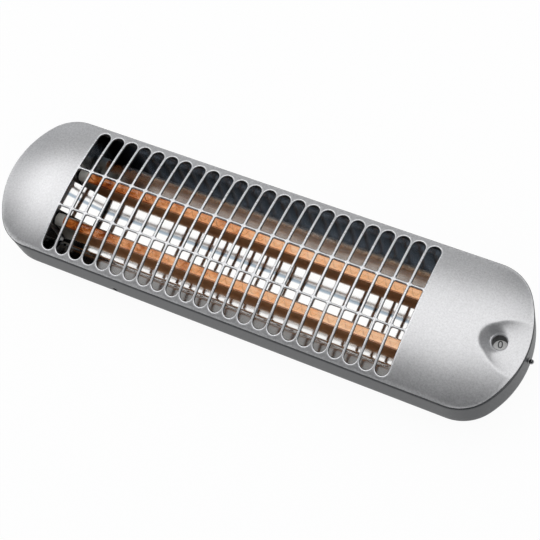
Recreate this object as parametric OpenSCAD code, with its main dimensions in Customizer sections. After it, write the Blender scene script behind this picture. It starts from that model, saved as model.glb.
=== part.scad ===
// Wall-mounted electric bar heater with two quartz lamps behind a pressed grille.
// X runs along the heater, Y is up when it hangs on the wall, Z points out of the wall.
// The origin is the centre of the wall face.

/* [Casing] */
// Overall length of the casing
body_l = 564; // [540:4:640]
// Overall width of the casing
body_w = 148; // [144:2:156]
// Depth from the wall face to the crown of the cover
body_d = 60; // [58:1:70]
// Radius of the wide arc that closes each end
end_r = 98; // [90:1:110]
// Radius of the corner between a long side and an end arc
corner_r = 44; // [36:1:52]
// Radius of the crown across the cover
crown_r = 272; // [240:4:400]
// Length of the stretch at each end over which the cover falls away
dome_l = 66; // [60:1:68]
// Thickness of the cover sheet
cover_t = 1.2; // [1:0.1:1.6]
// Depth of the straight lip under the edge of the crown
lip_h = 1.1; // [0.8:0.1:2]
// Thickness of the tray sheet
tray_t = 1.2; // [1:0.1:1.5]
// Radius of the bend between the tray's wall and its floor
tray_bend_r = 14; // [10:1:16]
// Width of the flange inside the tray's rim
flange_w = 6.5; // [5:0.5:7]
// Thickness of the gasket between cover and tray
gasket_t = 1.4; // [1:0.1:2]
// How far the gasket's edge lies inside the outline
gasket_inset = 0.6; // [0.3:0.1:1]

/* [Grille] */
// Distance from slot to slot
slot_pitch = 16; // [14:0.5:16.5]
// Width of the bar between two slots
bar_w = 3; // [2.4:0.2:4]
// Distance from the end of a slot to the side of the casing
slot_margin = 5.6; // [5.4:0.2:14]
// Distance of each cross bar from the centre line
cross_y = 21.9; // [18:0.1:26]
// Width of a cross bar
cross_w = 2.2; // [2:0.1:3]
// Depth of the bars and of the sheet's turned edge round the slots
grille_t = 2.6; // [2:0.1:3.2]
// Distance from the left end to the outer edge of the first slot's rim
grille_start = 71; // [66:1:80]
// Distance from the right end to the last slot's rim
grille_end = 109; // [96:1:140]

/* [Indicator window] */
// Distance from the right end to the middle of the window
win_inset = 26.5; // [25:0.5:28]
// Radius of the window
win_r = 8; // [7:0.5:9]
// How far the window's edge lies below the crown
win_drop = 8.5; // [7.5:0.1:9]
// Width of the level margin round the window
scoop_margin = 1; // [0.6:0.1:1.6]
// Height over which the scoop's walls are drawn
scoop_rise = 10; // [9:0.5:12]
// How far the scoop's walls spread over that height
scoop_spread = 15; // [12:0.5:17]
// Half width of the scoop's floor at its far end
scoop_end_y = 34; // [28:1:38]
// Radius of the scoop's floor at its far corners
scoop_end_r = 2; // [1:0.5:4]
// How far past the end of the casing the scoop's far corners lie
scoop_end_x = 18; // [14:1:22]
// Fall of the scoop's floor from the window to its far end
scoop_fall = 3.8; // [3:0.1:4.2]
// Length of the sleeve under the window
sleeve_l = 12.5; // [11:0.5:13]
// Wall of the sleeve
sleeve_wall = 0.9; // [0.7:0.1:1.2]
// Thickness of the sleeve's flange
sleeve_flange_t = 1.3; // [1:0.1:1.6]
// Reach of the sleeve's flange past the window
sleeve_flange_w = 1.8; // [1:0.2:2]

/* [Lamps] */
// Distance of each lamp from the edge of the mirror floor
lamp_in = 17; // [15:0.5:19]
// Height of the lamps over the wall face
lamp_z = 24; // [23:0.5:27]
// Distance from the left end to the mouth of the left end caps
lamp_start = 69; // [67:0.5:72]
// Distance from the right end to the mouth of the right end caps
lamp_end = 101; // [99:1:115]
// Outer radius of the quartz tube
tube_r = 5.5; // [5:0.1:5.8]
// Wall of the quartz tube
tube_wall = 1; // [0.8:0.1:1.2]
// Outer radius of an end cap
cap_r = 6.5; // [6.3:0.1:7]
// Length of an end cap
cap_l = 18; // [17:0.5:19]
// Depth of the socket that takes the tube
socket_l = 6; // [5:0.5:8]
// Radius at the bottom of the cap's groove
groove_r = 5; // [4.5:0.1:5.2]
// Width of the cap's groove
groove_w = 1.6; // [1.5:0.1:2]
// Distance from the cap's mouth to the middle of its groove
groove_in = 13.6; // [13:0.1:14]
// Radius of the contact pin
pin_r = 1; // [0.8:0.1:1.2]
// How far the contact pin stands out of the cap
pin_out = 5; // [3:0.5:5]
// How far the contact pin reaches past the cap's socket into the tube
pin_in = 3; // [2:0.5:4]

/* [Heating coils] */
// Number of turns in one coil
coil_turns = 42; // [30:1:42]
// Radius of the coil's centre line
coil_r = 2.9; // [2.5:0.1:3.2]
// Radius of the coil's wire
wire_r = 0.45; // [0.35:0.05:0.6]
// Straight length of wire between a pin and the coil
coil_lead = 4; // [3:0.5:6]

/* [Reflector] */
// Height of the mirror floor over the wall face
refl_z = 8; // [7.5:0.5:9]
// Distance of the mirror's top edge from the side of the casing
refl_margin = 5; // [4:0.5:8]
// Width over which each side of the mirror rises
refl_run = 25; // [22:1:29]
// Gap between the mirror's top edge and the tray's flange
refl_gap = 1; // [0.5:0.5:4]
// Thickness of the reflector sheet
refl_t = 0.8; // [0.6:0.1:1]
// Distance from the left end to the reflector
refl_in_left = 42; // [41:1:43]
// Distance from the right end to the reflector
refl_in_right = 70; // [69:1:71]
// Radius of the bead pressed along the middle of the mirror
bead_r = 4; // [3:0.5:6]
// Height of that bead
bead_h = 1.5; // [1:0.1:2]
// Width of the top of a mounting rail
rail_w = 18; // [16:1:20]
// Width of a mounting rail's foot
rail_foot_w = 6; // [5:0.5:8]
// Thickness of a mounting rail's sheet
rail_t = 1; // [0.8:0.1:1.2]
// Distance from the end of a mounting rail to the edge of the mirror floor
rail_in = 4; // [2:1:8]
// Thickness of a lamp bracket
bracket_t = 1.2; // [1:0.1:1.4]
// Height of a lamp bracket over the lamps' centre
bracket_over = 5; // [3:0.5:6]
// Length of a lamp bracket's foot
bracket_foot = 11; // [10:0.5:12]
// Distance of a bracket's screws from the centre line
bracket_screw_y = 12; // [10:1:14]
// Thickness of a cap clip
clip_t = 0.8; // [0.6:0.1:1]
// Width of a cap clip
clip_w = 2.6; // [2:0.1:3]
// Distance from the cap's mouth to the middle of its clip
clip_in = 10.4; // [9:0.1:11]

/* [Pull switch] */
// Distance from the right end to the switch spindle
spindle_inset = 40.5; // [40:0.5:41]
// Width and length of the switch case
case_w = 42; // [41:0.5:43]
// Wall of the switch case
case_wall = 2; // [1.5:0.1:2.5]
// Thickness of the switch lid
lid_t = 2; // [1.6:0.1:2.4]
// Radius of the spindle
spindle_r = 3; // [2.5:0.1:3.5]
// Radius of the numbered disc
disc_r = 24; // [23:0.5:25]
// Thickness of the numbered disc
disc_t = 1.5; // [1.2:0.1:2]
// Height of the numbered disc over the lid
disc_lift = 10; // [9.5:0.1:12]
// Gap between the numbered disc and the window's sleeve
sleeve_gap = 3.3; // [2:0.1:5]
// Radius over the tips of the ratchet's teeth
ratchet_r = 6; // [5.5:0.1:6.5]
// Depth of the ratchet's teeth
tooth_h = 1.2; // [0.8:0.1:1.4]
// Thickness of the ratchet
ratchet_t = 3; // [2.6:0.1:3.4]
// Radius of the switch cam
cam_r = 9; // [8:0.5:10]
// Distance of the lever's pivot from the centre line
pivot_y = 17; // [16.5:0.1:17.5]
// Distance along X from the spindle to the lever's pivot
pivot_dx = 13.5; // [13:0.1:14]
// Radius of the lever's pivot pin
pivot_r = 2; // [1.6:0.1:2.2]
// Thickness of the lever
lever_t = 2.6; // [2.2:0.1:3]
// Width of the lever's arms
lever_w = 6; // [5:0.5:7]
// Radius of the pull rod
rod_r = 1.5; // [1.2:0.1:1.6]
// Height of the pull rod over the switch lid
rod_lift = 5.8; // [5.6:0.1:6]
// Travel of the pull rod
pull_travel = 8; // [6:0.5:8]
// Radius of the cross pin that works the lever
cross_pin_r = 1.2; // [1:0.1:1.4]
// Radius of the collar that carries the return spring
collar_r = 2.4; // [2.2:0.1:2.6]
// Radius of the bead on the end of the pull rod
knob_r = 2.5; // [2.2:0.1:3]
// Radius of the bush where it passes the casing
bush_r = 3; // [2.6:0.1:3.4]
// Length of the bush inside the casing
bush_l = 8.6; // [8:0.1:9]

/* [Fixings and wiring] */
// Radius of each hole for a wall screw
wall_hole_r = 2.5; // [2:0.1:3]
// Distance of the wall holes from the ends of the casing
wall_hole_inset = 28; // [26:1:30]
// Distance of the wall holes from the sides of the casing
wall_hole_side = 26; // [24:1:28]
// Distance from each end to the cover's posts
post_inset = 24; // [23:0.5:25]
// Distance of the cover's posts from the centre line
post_y = 30; // [29:0.5:31]
// Radius of a cover post
post_r = 4; // [3.5:0.1:4.5]
// Radius of the cover screws
cover_screw_r = 1.6; // [1.4:0.1:1.8]
// Length of the cover screws
cover_screw_l = 14; // [12:1:20]
// Depth of the dimple that takes a cover screw's head
dimple_h = 3.2; // [2.8:0.1:3.6]
// Radius of a dimple
dimple_r = 7; // [6.5:0.1:7.5]
// Radius of the small screws' shanks
screw_r = 1.5; // [1.3:0.1:1.7]
// Radius of the supply lead's hole through its grommet
entry_r = 4; // [3:0.5:5]
// Radius of the drain hole
drain_r = 2.5; // [2:0.1:3]
// Distance of the drain hole to the left of the middle
drain_x = 130; // [100:5:160]
// Height of the drain hole over the wall face
drain_z = 18; // [17:0.5:20]
// Radius of the inner leads
lead_r = 1.2; // [1:0.1:1.3]

/* [Hidden] */
$fn = 96;

// Overrun of every cut past the face that it leaves
over = 1;
// Clearance between pieces that are pushed together and stay still
fit = 0.05;
// Radial clearance of a shaft that turns or slides in its hole
run = 0.06;
// Clearance between pieces that pass each other
pass = 0.4;
// Number of steps round the tray's bend, a corner and an end arc
bend_steps = 5;
corner_steps = 8;
end_steps = 14;

// Casing
half_l = body_l / 2;
half_w = body_w / 2;
end_x = half_l - end_r;
end_angle = asin((half_w - corner_r) / (end_r - corner_r));
corner_x = end_x + (end_r - corner_r) * cos(end_angle);
corner_y = half_w - corner_r;
crown_z = body_d - crown_r;
dome_x = half_l - dome_l;
side_drop = crown_r - sqrt(crown_r * crown_r - half_w * half_w);
rim_z = body_d - side_drop - lip_h;
tray_h = rim_z - gasket_t;

// Grille
grille_x = grille_start - half_l;
slot_count = floor((body_l - grille_start - grille_end) / slot_pitch);
slot_reach = half_w - slot_margin;
slot_r = (slot_pitch - bar_w) / 2;
slot_x = [for (i = [0 : slot_count - 1]) grille_x + (i + 0.5) * slot_pitch];

// Window
win_x = half_l - win_inset;
win_z = body_d - win_drop;
scoop_slope = scoop_fall / (half_l + scoop_end_x - win_x);

// Mirror
refl_top_y = half_w - refl_margin;
refl_flat = refl_top_y - refl_run;
refl_top_z = tray_h - tray_t - refl_gap;
rail_reach = refl_flat - rail_in;

// Lamps
lamp_y = refl_flat - lamp_in;
lamp_x0 = lamp_start - half_l;
lamp_x1 = half_l - lamp_end;
tube_bore_r = tube_r - tube_wall;
pin_tip = socket_l - pin_in;
coil_rings = 8;
wire_sides = 6;

// Reflector
refl_x0 = refl_in_left - half_l;
refl_x1 = half_l - refl_in_right;
refl_angle = atan2(refl_top_z - refl_z, refl_top_y - refl_flat);
refl_under = refl_z - refl_t;
refl_foot_y = refl_flat + refl_t * tan(refl_angle / 2);
refl_out_y = refl_top_y + refl_t * sin(refl_angle);
refl_out_z = refl_top_z - refl_t * cos(refl_angle);
refl_back = [[-refl_out_y, refl_out_z], [-refl_foot_y, refl_under],
  [refl_foot_y, refl_under], [refl_out_y, refl_out_z]];
bracket_end_y = lamp_y + 2 * groove_r;

// Small screws and nuts
screw_head_r = 2.8;
screw_head_h = 1.8;
cover_head_r = 3.4;
cover_head_h = 2;
bracket_screw_l = 6;
stud_r = 2;
stud_h = 7;
nut_r = 3.2;
nut_h = 2;

// Pull switch
spindle_x = half_l - spindle_inset;
disc_z = win_z - sleeve_l - sleeve_gap - disc_t;
lid_top = disc_z - disc_lift;
lid_z = lid_top - lid_t;
case_z = tray_t;
case_in_z = case_z + case_wall;
case_h = lid_z - case_z;
gear_z = lid_top + pass;
rod_z = lid_top + rod_lift;
ear_r = screw_head_r + 0.6;
ear_h = 3;
ear_y = case_w / 2 + screw_head_r + fit;
lid_post = case_w / 2 - case_wall - screw_head_r / 2;
boss_r = spindle_r + case_wall;
boss_h = 3;
cam_z = case_in_z + boss_h + pass;
cam_gap = 5.6;
cam_h = lid_z - cam_gap - cam_z;
notch_d = 1.5;
notch_w = 5;
strip_t = 0.8;
strip_w = 5;
strip_under = 7;
strip_h = lid_z - strip_under - case_in_z;
detent_t = 0.4;
pawl_r = 1.2;
pivot_x = spindle_x + pivot_dx;
pivot_span = sqrt(pivot_dx * pivot_dx + pivot_y * pivot_y);
pawl_l = pivot_span - ratchet_r - pawl_r - pass;
pull_swing = atan2(pull_travel, pivot_y);
pawl_angle = 180 + atan2(pivot_y, pivot_dx) - pull_swing / 2;
lever_boss_r = pivot_r + lever_w / 3;
prong_w = 2;
fork_w = 2 * (cross_pin_r + pass + prong_w);
fork_l = sqrt(pivot_y * pivot_y + pull_travel * pull_travel) + cross_pin_r + pass;
collar_x = pivot_x + fork_w / 2 + pass;
collar_l = 2;
bush_body_r = bush_r + 1.5;
bush_x = half_l - tray_t - bush_l - pass;
bush_stand = 0.2;
knob_x = half_l + pass + knob_r;
knob_wall = 1.4;

// Wall holes
wall_hole_x = half_l - wall_hole_inset;
wall_hole_y = half_w - wall_hole_side;

// Floor of the right-hand bay
lane_y = half_w - tray_bend_r;
lane_z = tray_t + 4 * lead_r;
bay_x = refl_x1 + refl_t + 3 * lead_r;
block_x = bay_x + 4 * lead_r;
block_l = 20;
block_w = 19;
block_h = 13;
block_y = lane_y - 2 * lead_r - block_w / 2;
block_step = 6;
block_in = 7;
wire_z = tray_t + block_h / 2;
grommet_r = 6.5;
grommet_flange = 2;
grommet_h = 1.5;
entry_x = block_x + block_l / 2;
earth_x = block_x + 2 * nut_r;
earth_y = case_w / 2 + 2 * nut_r + fit;
lug_t = 1;
earth_in = 2;
cutout_r = 7.5;
cutout_h = 4.5;
cutout_y = refl_flat;
cutout_under = 13;
cutout_z = refl_top_z - cutout_under;
cutout_step = 3.5;
cutout_in = 1.5;
cutout_in_x = refl_x1 + refl_t + cutout_h - cutout_in;
cutout_far_x = refl_x1 + refl_t + cutout_h + 3 * lead_r;
port_x = spindle_x - case_w / 2 + case_wall;
port_low_y = case_w / 2 - case_wall - 2 * screw_head_r - strip_w / 2;
port_high_y = port_low_y - strip_w - pass;
port_low_z = tray_t + block_h / 2;
port_high_z = port_low_z + 4 * lead_r;
lead_sides = 8;
lead_bend = 3 * lead_r;
bend_points = 3;
left_bay_x = refl_x0 - refl_t - 5 * lead_r;

silver = [0.78, 0.78, 0.79];
graphite = [0.33, 0.34, 0.34];
brass = [0.8, 0.66, 0.35];
bakelite = [0.13, 0.11, 0.1];
cream = [0.85, 0.84, 0.8];
pale_grey = [0.75, 0.75, 0.74];
lead_white = [0.88, 0.88, 0.86];
lead_brown = [0.35, 0.2, 0.12];
lead_green = [0.3, 0.5, 0.2];
wire_grey = [0.4, 0.3, 0.26];
mirror_grey = [0.86, 0.87, 0.88];
steel = [0.62, 0.63, 0.64];
black = [0.05, 0.05, 0.05];
amber = [0.86, 0.42, 0.14];
ceramic = [0.9, 0.89, 0.85];

// The casing's outline in plan, drawn in by the given inset.
module plan(inset) {
  tip_x = end_x + (end_r - inset) * cos(end_angle);
  tip_y = (end_r - inset) * sin(end_angle);
  square([2 * corner_x, body_w - 2 * inset], center = true);
  for (sx = [-1, 1]) {
    for (sy = [-1, 1]) translate([sx * corner_x, sy * corner_y]) circle(r = corner_r - inset);
    polygon([[sx * corner_x, corner_y], [sx * tip_x, tip_y], [sx * tip_x, -tip_y], [sx * corner_x, -corner_y]]);
    intersection() {
      translate([sx * end_x, 0]) circle(r = end_r - inset);
      translate([sx * (tip_x + end_r / 2), 0]) square([end_r, body_w], center = true);
    }
  }
}

// A ring of the outline between two insets.
module plan_ring(outer, inner) {
  difference() {
    plan(outer);
    plan(inner);
  }
}

// The crown: a long cylinder with a ball at each end, drawn in by the given depth.
module crown(depth) {
  r = crown_r - depth;
  translate([0, 0, crown_z]) rotate([0, 90, 0]) rotate_extrude() {
    translate([0, -dome_x]) square([r, 2 * dome_x]);
    for (s = [-1, 1]) translate([0, s * dome_x]) intersection() {
      circle(r = r);
      translate([0, s > 0 ? 0 : -r]) square([r, r]);
    }
  }
}

// The space under the crown and inside the outline.
module under_crown(depth, inset, from_z) {
  intersection() {
    crown(depth);
    translate([0, 0, from_z]) linear_extrude(body_d) plan(inset);
  }
}

// The scoop in the right end of the cover, lowered and widened by the sheet's thickness for its back.
module scoop(sheet) {
  floor_r = win_r + scoop_margin + sheet;
  hull() {
    translate([win_x, 0, win_z + scoop_slope * (win_r + scoop_margin) - sheet])
      cylinder(h = scoop_rise, r1 = floor_r, r2 = floor_r + scoop_spread, $fn = 48);
    for (s = [-1, 1]) translate([half_l + scoop_end_x, s * scoop_end_y, win_z - scoop_fall - sheet])
      cylinder(h = scoop_rise, r1 = scoop_end_r + sheet, r2 = scoop_end_r + sheet + scoop_spread, $fn = 32);
  }
}

// One slot of the grille: two rounded openings and a straight one between the cross bars.
module slot() {
  inner_y = cross_y + cross_w / 2;
  round_y = slot_reach - slot_r;
  square([2 * slot_r, 2 * cross_y - cross_w], center = true);
  for (s = [-1, 1]) {
    translate([0, s * (inner_y + round_y) / 2]) square([2 * slot_r, round_y - inner_y], center = true);
    translate([0, s * round_y]) circle(r = slot_r);
  }
}

// Places children at the cover's four posts.
module at_posts() {
  for (sx = [-1, 1]) for (sy = [-1, 1]) translate([sx * (half_l - post_inset), sy * post_y, 0]) children();
}

module front_cover() {
  pad_l = slot_count * slot_pitch + bar_w;
  pad_w = 2 * slot_reach + bar_w;
  post_bottom = tray_t + dimple_h;
  color(silver) difference() {
    union() {
      difference() {
        under_crown(0, 0, rim_z);
        scoop(0);
        difference() {
          union() {
            under_crown(grille_t, cover_t, rim_z - over);
            difference() {
              under_crown(cover_t, cover_t, rim_z - over);
              translate([grille_x - bar_w / 2, -pad_w / 2, 0]) cube([pad_l, pad_w, body_d]);
            }
          }
          scoop(cover_t);
        }
      }
      intersection() {
        at_posts() translate([0, 0, post_bottom]) cylinder(r = post_r, h = body_d);
        under_crown(cover_t / 2, cover_t / 2, 0);
      }
    }
    for (x = slot_x) translate([x, 0, rim_z - over]) linear_extrude(body_d) slot();
    translate([win_x, 0, rim_z - over]) cylinder(r = win_r, h = body_d);
    at_posts() cylinder(r = cover_screw_r + fit, h = post_bottom + cover_screw_l);
  }
}

module edge_gasket() {
  color(black) translate([0, 0, tray_h]) linear_extrude(gasket_t) plan_ring(gasket_inset, flange_w);
}

// Points on an arc of the outline, without its first point.
function arc_points(x, y, r, from_a, to_a, steps) =
  [for (i = [1 : steps]) let(a = from_a + (to_a - from_a) * i / steps) [x + r * cos(a), y + r * sin(a)]];

// Points round the casing's outline, drawn in by the given inset.
function outline_points(inset) =
  let(r = corner_r - inset, rr = end_r - inset, a = end_angle)
  concat(
    arc_points(end_x, 0, rr, -a, a, end_steps),
    arc_points(corner_x, corner_y, r, a, 90, corner_steps),
    [[-corner_x, half_w - inset]],
    arc_points(-corner_x, corner_y, r, 90, 180 - a, corner_steps),
    arc_points(-end_x, 0, rr, 180 - a, 180 + a, end_steps),
    arc_points(-corner_x, -corner_y, r, 180 + a, 270, corner_steps),
    [[corner_x, inset - half_w]],
    arc_points(corner_x, -corner_y, r, 270, 360 - a, corner_steps));

// A closed solid through rings that have the same number of points each.
module ring_solid(rings) {
  n = len(rings[0]);
  m = len(rings);
  polyhedron(
    points = [for (ring = rings) for (p = ring) p],
    faces = concat(
      [for (j = [1 : n - 2]) [0, j, j + 1]],
      [for (i = [0 : m - 2]) for (j = [0 : n - 1]) [i * n + j, (i + 1) * n + (j + 1) % n, i * n + (j + 1) % n]],
      [for (i = [0 : m - 2]) for (j = [0 : n - 1]) [i * n + j, (i + 1) * n + j, (i + 1) * n + (j + 1) % n]],
      [for (j = [1 : n - 2]) [(m - 1) * n, (m - 1) * n + j + 1, (m - 1) * n + j]]));
}

// The tray's outer form, or its hollow when it is drawn in by the sheet's thickness.
module tray_form(inset, top_z) {
  r = tray_bend_r - inset;
  bend = [for (i = [0 : bend_steps]) let(a = 90 * i / bend_steps)
    [for (p = outline_points(inset + r - r * sin(a))) [p.x, p.y, inset + r - r * cos(a)]]];
  ring_solid(concat(bend, [[for (p = outline_points(inset)) [p.x, p.y, top_z]]]));
}

module back_tray() {
  color(graphite) difference() {
    union() {
      difference() {
        tray_form(0, tray_h);
        tray_form(tray_t, tray_h + over);
      }
      translate([0, 0, tray_h - tray_t]) linear_extrude(tray_t) plan_ring(tray_t / 2, flange_w);
      at_posts() cylinder(r = dimple_r, h = tray_t + dimple_h);
    }
    at_posts() translate([0, 0, -over]) cylinder(r = dimple_r - tray_t, h = dimple_h + over);
    at_posts() cylinder(r = cover_screw_r + fit, h = body_d);
    for (sx = [-1, 1]) for (sy = [-1, 1]) translate([sx * wall_hole_x, sy * wall_hole_y, -over])
      cylinder(r = wall_hole_r, h = tray_t + 2 * over);
    for (s = [-1, 1]) translate([spindle_x, s * ear_y, -over])
      cylinder(r = screw_r + fit, h = tray_t + 2 * over);
    translate([entry_x, -wall_hole_y, -over]) cylinder(r = grommet_r, h = tray_t + 2 * over);
    translate([earth_x, earth_y, -over]) cylinder(r = stud_r + fit, h = tray_t + 2 * over);
    rod_x(bush_r + fit, half_l - tray_bend_r, half_l + over, 0, rod_z);
    translate([-drain_x, tray_t + over - half_w, drain_z]) rotate([90, 0, 0])
      cylinder(r = drain_r, h = tray_t + 2 * over);
  }
}

module window_sleeve() {
  flange_r = win_r + sleeve_flange_w;
  flange_z = win_z - scoop_slope * flange_r - cover_t - fit - sleeve_flange_t;
  sleeve_r = win_r - fit;
  foot_z = win_z - sleeve_l;
  color(black) difference() {
    union() {
      translate([win_x, 0, foot_z]) cylinder(r = sleeve_r, h = sleeve_l - scoop_slope * win_r);
      translate([win_x, 0, flange_z]) cylinder(r = flange_r, h = sleeve_flange_t);
    }
    translate([win_x, 0, foot_z - over]) cylinder(r = sleeve_r - sleeve_wall, h = sleeve_l + 2 * over);
  }
}

module cover_screws() {
  color(steel) at_posts() {
    translate([0, 0, dimple_h - cover_head_h]) cylinder(r = cover_head_r, h = cover_head_h);
    translate([0, 0, dimple_h - cover_head_h]) cylinder(r = cover_screw_r, h = cover_head_h + cover_screw_l);
  }
}

// Extrudes a section drawn in Y and Z along X.
module along_x(x0, x1) {
  translate([x0, 0, 0]) rotate([90, 0, 90]) linear_extrude(x1 - x0) children();
}

// A round rod along X, centred on the given Y and Z.
module rod_x(r, x0, x1, y, z) {
  translate([x0, y, z]) rotate([0, 90, 0]) cylinder(r = r, h = x1 - x0);
}

module reflector() {
  bead_z = refl_z + bead_h - bead_r;
  color(mirror_grey) difference() {
    along_x(refl_x0, refl_x1) difference() {
      union() {
        polygon(concat(refl_back,
          [[refl_top_y, refl_top_z], [refl_flat, refl_z], [-refl_flat, refl_z], [-refl_top_y, refl_top_z]]));
        intersection() {
          translate([0, bead_z]) circle(r = bead_r);
          translate([-bead_r, refl_under]) square([2 * bead_r, bead_r + bead_h]);
        }
      }
      translate([0, bead_z]) circle(r = bead_r - refl_t);
    }
    at_bracket_screws(refl_under - over) cylinder(r = screw_r + fit, h = refl_t + 2 * over);
  }
}

// An end plate of the reflector with a hole for each lead.
module reflector_end(x) {
  color(mirror_grey) difference() {
    along_x(x, x + refl_t) polygon(concat(refl_back, [[refl_top_y, refl_top_z], [-refl_top_y, refl_top_z]]));
    for (s = [-1, 1]) rod_x(lead_r + pass, x - over, x + refl_t + over, s * lamp_y, lamp_z);
  }
}

module reflector_end_left() {
  reflector_end(refl_x0 - refl_t);
}

module reflector_end_right() {
  reflector_end(refl_x1);
}

// Where the bracket's plate stands at the left (-1) or right (1) end, and its foot's middle.
function bracket_x(side) = side < 0 ? lamp_x0 - groove_in : lamp_x1 + groove_in;
function foot_x(side) = bracket_x(side) + side * (bracket_t + bracket_foot) / 2;

// Places children at the four bracket screws.
module at_bracket_screws(z) {
  for (side = [-1, 1]) for (s = [-1, 1]) translate([foot_x(side), s * bracket_screw_y, z]) children();
}

// A hat-shaped rail across the tray under a lamp bracket.
module mount_rail(side) {
  top = rail_w / 2;
  foot = top + rail_foot_w;
  half = [[top, refl_under], [top, tray_t + rail_t], [foot, tray_t + rail_t],
    [foot, tray_t], [top - rail_t, tray_t], [top - rail_t, refl_under - rail_t]];
  other = [for (i = [len(half) - 1 : -1 : 0]) [-half[i].x, half[i].y]];
  color(steel) difference() {
    translate([foot_x(side), rail_reach, 0]) rotate([90, 0, 0])
      linear_extrude(2 * rail_reach) polygon(concat(half, other));
    at_bracket_screws(refl_under - rail_t - over) cylinder(r = screw_r + fit, h = rail_t + 2 * over);
  }
}

module mount_rail_left() {
  mount_rail(-1);
}

module mount_rail_right() {
  mount_rail(1);
}

// An upright plate with a notch for each lamp, on two feet that point outwards.
module lamp_bracket(side) {
  x = bracket_x(side);
  foot_l = bracket_t + bracket_foot;
  foot_at = side < 0 ? x + bracket_t / 2 - foot_l : x - bracket_t / 2;
  color(steel) difference() {
    union() {
      along_x(x - bracket_t / 2, x + bracket_t / 2) difference() {
        translate([-bracket_end_y, refl_z]) square([2 * bracket_end_y, lamp_z + bracket_over - refl_z]);
        for (s = [-1, 1]) {
          translate([s * lamp_y, lamp_z]) circle(r = groove_r + fit);
          translate([s * lamp_y - groove_r - fit, lamp_z]) square([2 * (groove_r + fit), bracket_over + over]);
        }
        translate([-bead_r - pass, refl_z - over]) square([2 * (bead_r + pass), over + bead_h + pass]);
      }
      for (s = [-1, 1]) translate([foot_at, s * bracket_screw_y - bracket_foot / 2, refl_z])
        cube([foot_l, bracket_foot, bracket_t]);
    }
    at_bracket_screws(refl_z - over) cylinder(r = screw_r + fit, h = bracket_t + 2 * over);
  }
}

module lamp_bracket_left() {
  lamp_bracket(-1);
}

module lamp_bracket_right() {
  lamp_bracket(1);
}

// A pan-head screw whose head rests at the given height and whose shank points down.
module small_screw(shank_l) {
  cylinder(r = screw_head_r, h = screw_head_h);
  translate([0, 0, -shank_l]) cylinder(r = screw_r, h = shank_l + screw_head_h / 2);
}

module bracket_screws() {
  color(steel) at_bracket_screws(refl_z + bracket_t) small_screw(bracket_screw_l);
}

// Places children at both ends of both lamps, with the cap's mouth at the origin and its far end along +Z.
module at_caps() {
  for (side = [-1, 1]) for (s = [-1, 1]) at_cap(side, s) children();
}

module at_cap(side, s) {
  translate([side < 0 ? lamp_x0 : lamp_x1, s * lamp_y, lamp_z]) rotate([0, side * 90, 0]) children();
}

module end_cap(side, s) {
  color(ceramic) at_cap(side, s) difference() {
    cylinder(r = cap_r, h = cap_l);
    translate([0, 0, -over]) cylinder(r = tube_r + fit, h = socket_l + over);
    translate([0, 0, -over]) cylinder(r = pin_r + fit, h = cap_l + 2 * over);
    translate([0, 0, groove_in - groove_w / 2]) difference() {
      cylinder(r = cap_r + over, h = groove_w);
      cylinder(r = groove_r, h = groove_w);
    }
  }
}

module end_cap_upper_left() {
  end_cap(-1, 1);
}

module end_cap_upper_right() {
  end_cap(1, 1);
}

module end_cap_lower_left() {
  end_cap(-1, -1);
}

module end_cap_lower_right() {
  end_cap(1, -1);
}

module contact_pins() {
  color(steel) at_caps() translate([0, 0, pin_tip]) cylinder(r = pin_r, h = cap_l + pin_out - pin_tip);
}

module cap_clips() {
  r = cap_r + fit;
  color(black) for (x = [lamp_x0 - clip_in, lamp_x1 + clip_in]) for (s = [-1, 1])
    along_x(x - clip_w / 2, x + clip_w / 2)
      translate([s * lamp_y, lamp_z]) difference() {
        union() {
          circle(r = r + clip_t);
          translate([-r - clip_t, refl_z - lamp_z]) square([2 * (r + clip_t), lamp_z - refl_z]);
        }
        circle(r = r);
        translate([-r, refl_z - lamp_z - over]) square([2 * r, lamp_z - refl_z + over]);
      }
}

module quartz_tube(s) {
  color(amber, 0.6) difference() {
    rod_x(tube_r, lamp_x0 - socket_l, lamp_x1 + socket_l, s * lamp_y, lamp_z);
    rod_x(tube_bore_r, lamp_x0 - socket_l - over, lamp_x1 + socket_l + over, s * lamp_y, lamp_z);
  }
}

module quartz_tube_upper() {
  quartz_tube(1);
}

module quartz_tube_lower() {
  quartz_tube(-1);
}

function unit(v) = v / norm(v);

// Points along a heating coil, with straight wire at both ends.
coil_x0 = lamp_x0 - pin_tip;
coil_x1 = lamp_x1 + pin_tip;
coil_n = coil_turns * coil_rings;
coil_path = concat([[coil_x0, 0, 0]],
  [for (i = [0 : coil_n])
    let(r = coil_r * min(1, min(i, coil_n - i) / coil_rings), a = 360 * i / coil_rings)
    [coil_x0 + coil_lead + (coil_x1 - coil_x0 - 2 * coil_lead) * i / coil_n, r * cos(a), r * sin(a)]],
  [[coil_x1, 0, 0]]);
coil_gap = min([for (i = [0 : coil_n]) for (j = [i + coil_rings / 2 : min(coil_n, i + 2 * coil_rings)])
  norm(coil_path[i] - coil_path[j])]) - 2 * wire_r;
echo(least_gap_of_the_coil_to_itself = coil_gap);

// The path's direction at one of its points.
function heading(path, i) = unit(path[min(i + 1, len(path) - 1)] - path[max(i - 1, 0)]);

// One ring of a tube across the given heading, turned to the given side.
function ring_at(p, t, side, r, sides) =
  let(n = unit(side - (side * t) * t), b = cross(t, n))
  [for (k = [0 : sides - 1]) let(a = 360 * k / sides) p + r * (cos(a) * n + sin(a) * b)];

// Sides that turn as little as possible along a path.
function carried(path, i, side) =
  i >= len(path) ? [] :
  let(t = heading(path, i), n = unit(side - (side * t) * t))
  concat([n], carried(path, i + 1, n));

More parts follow.
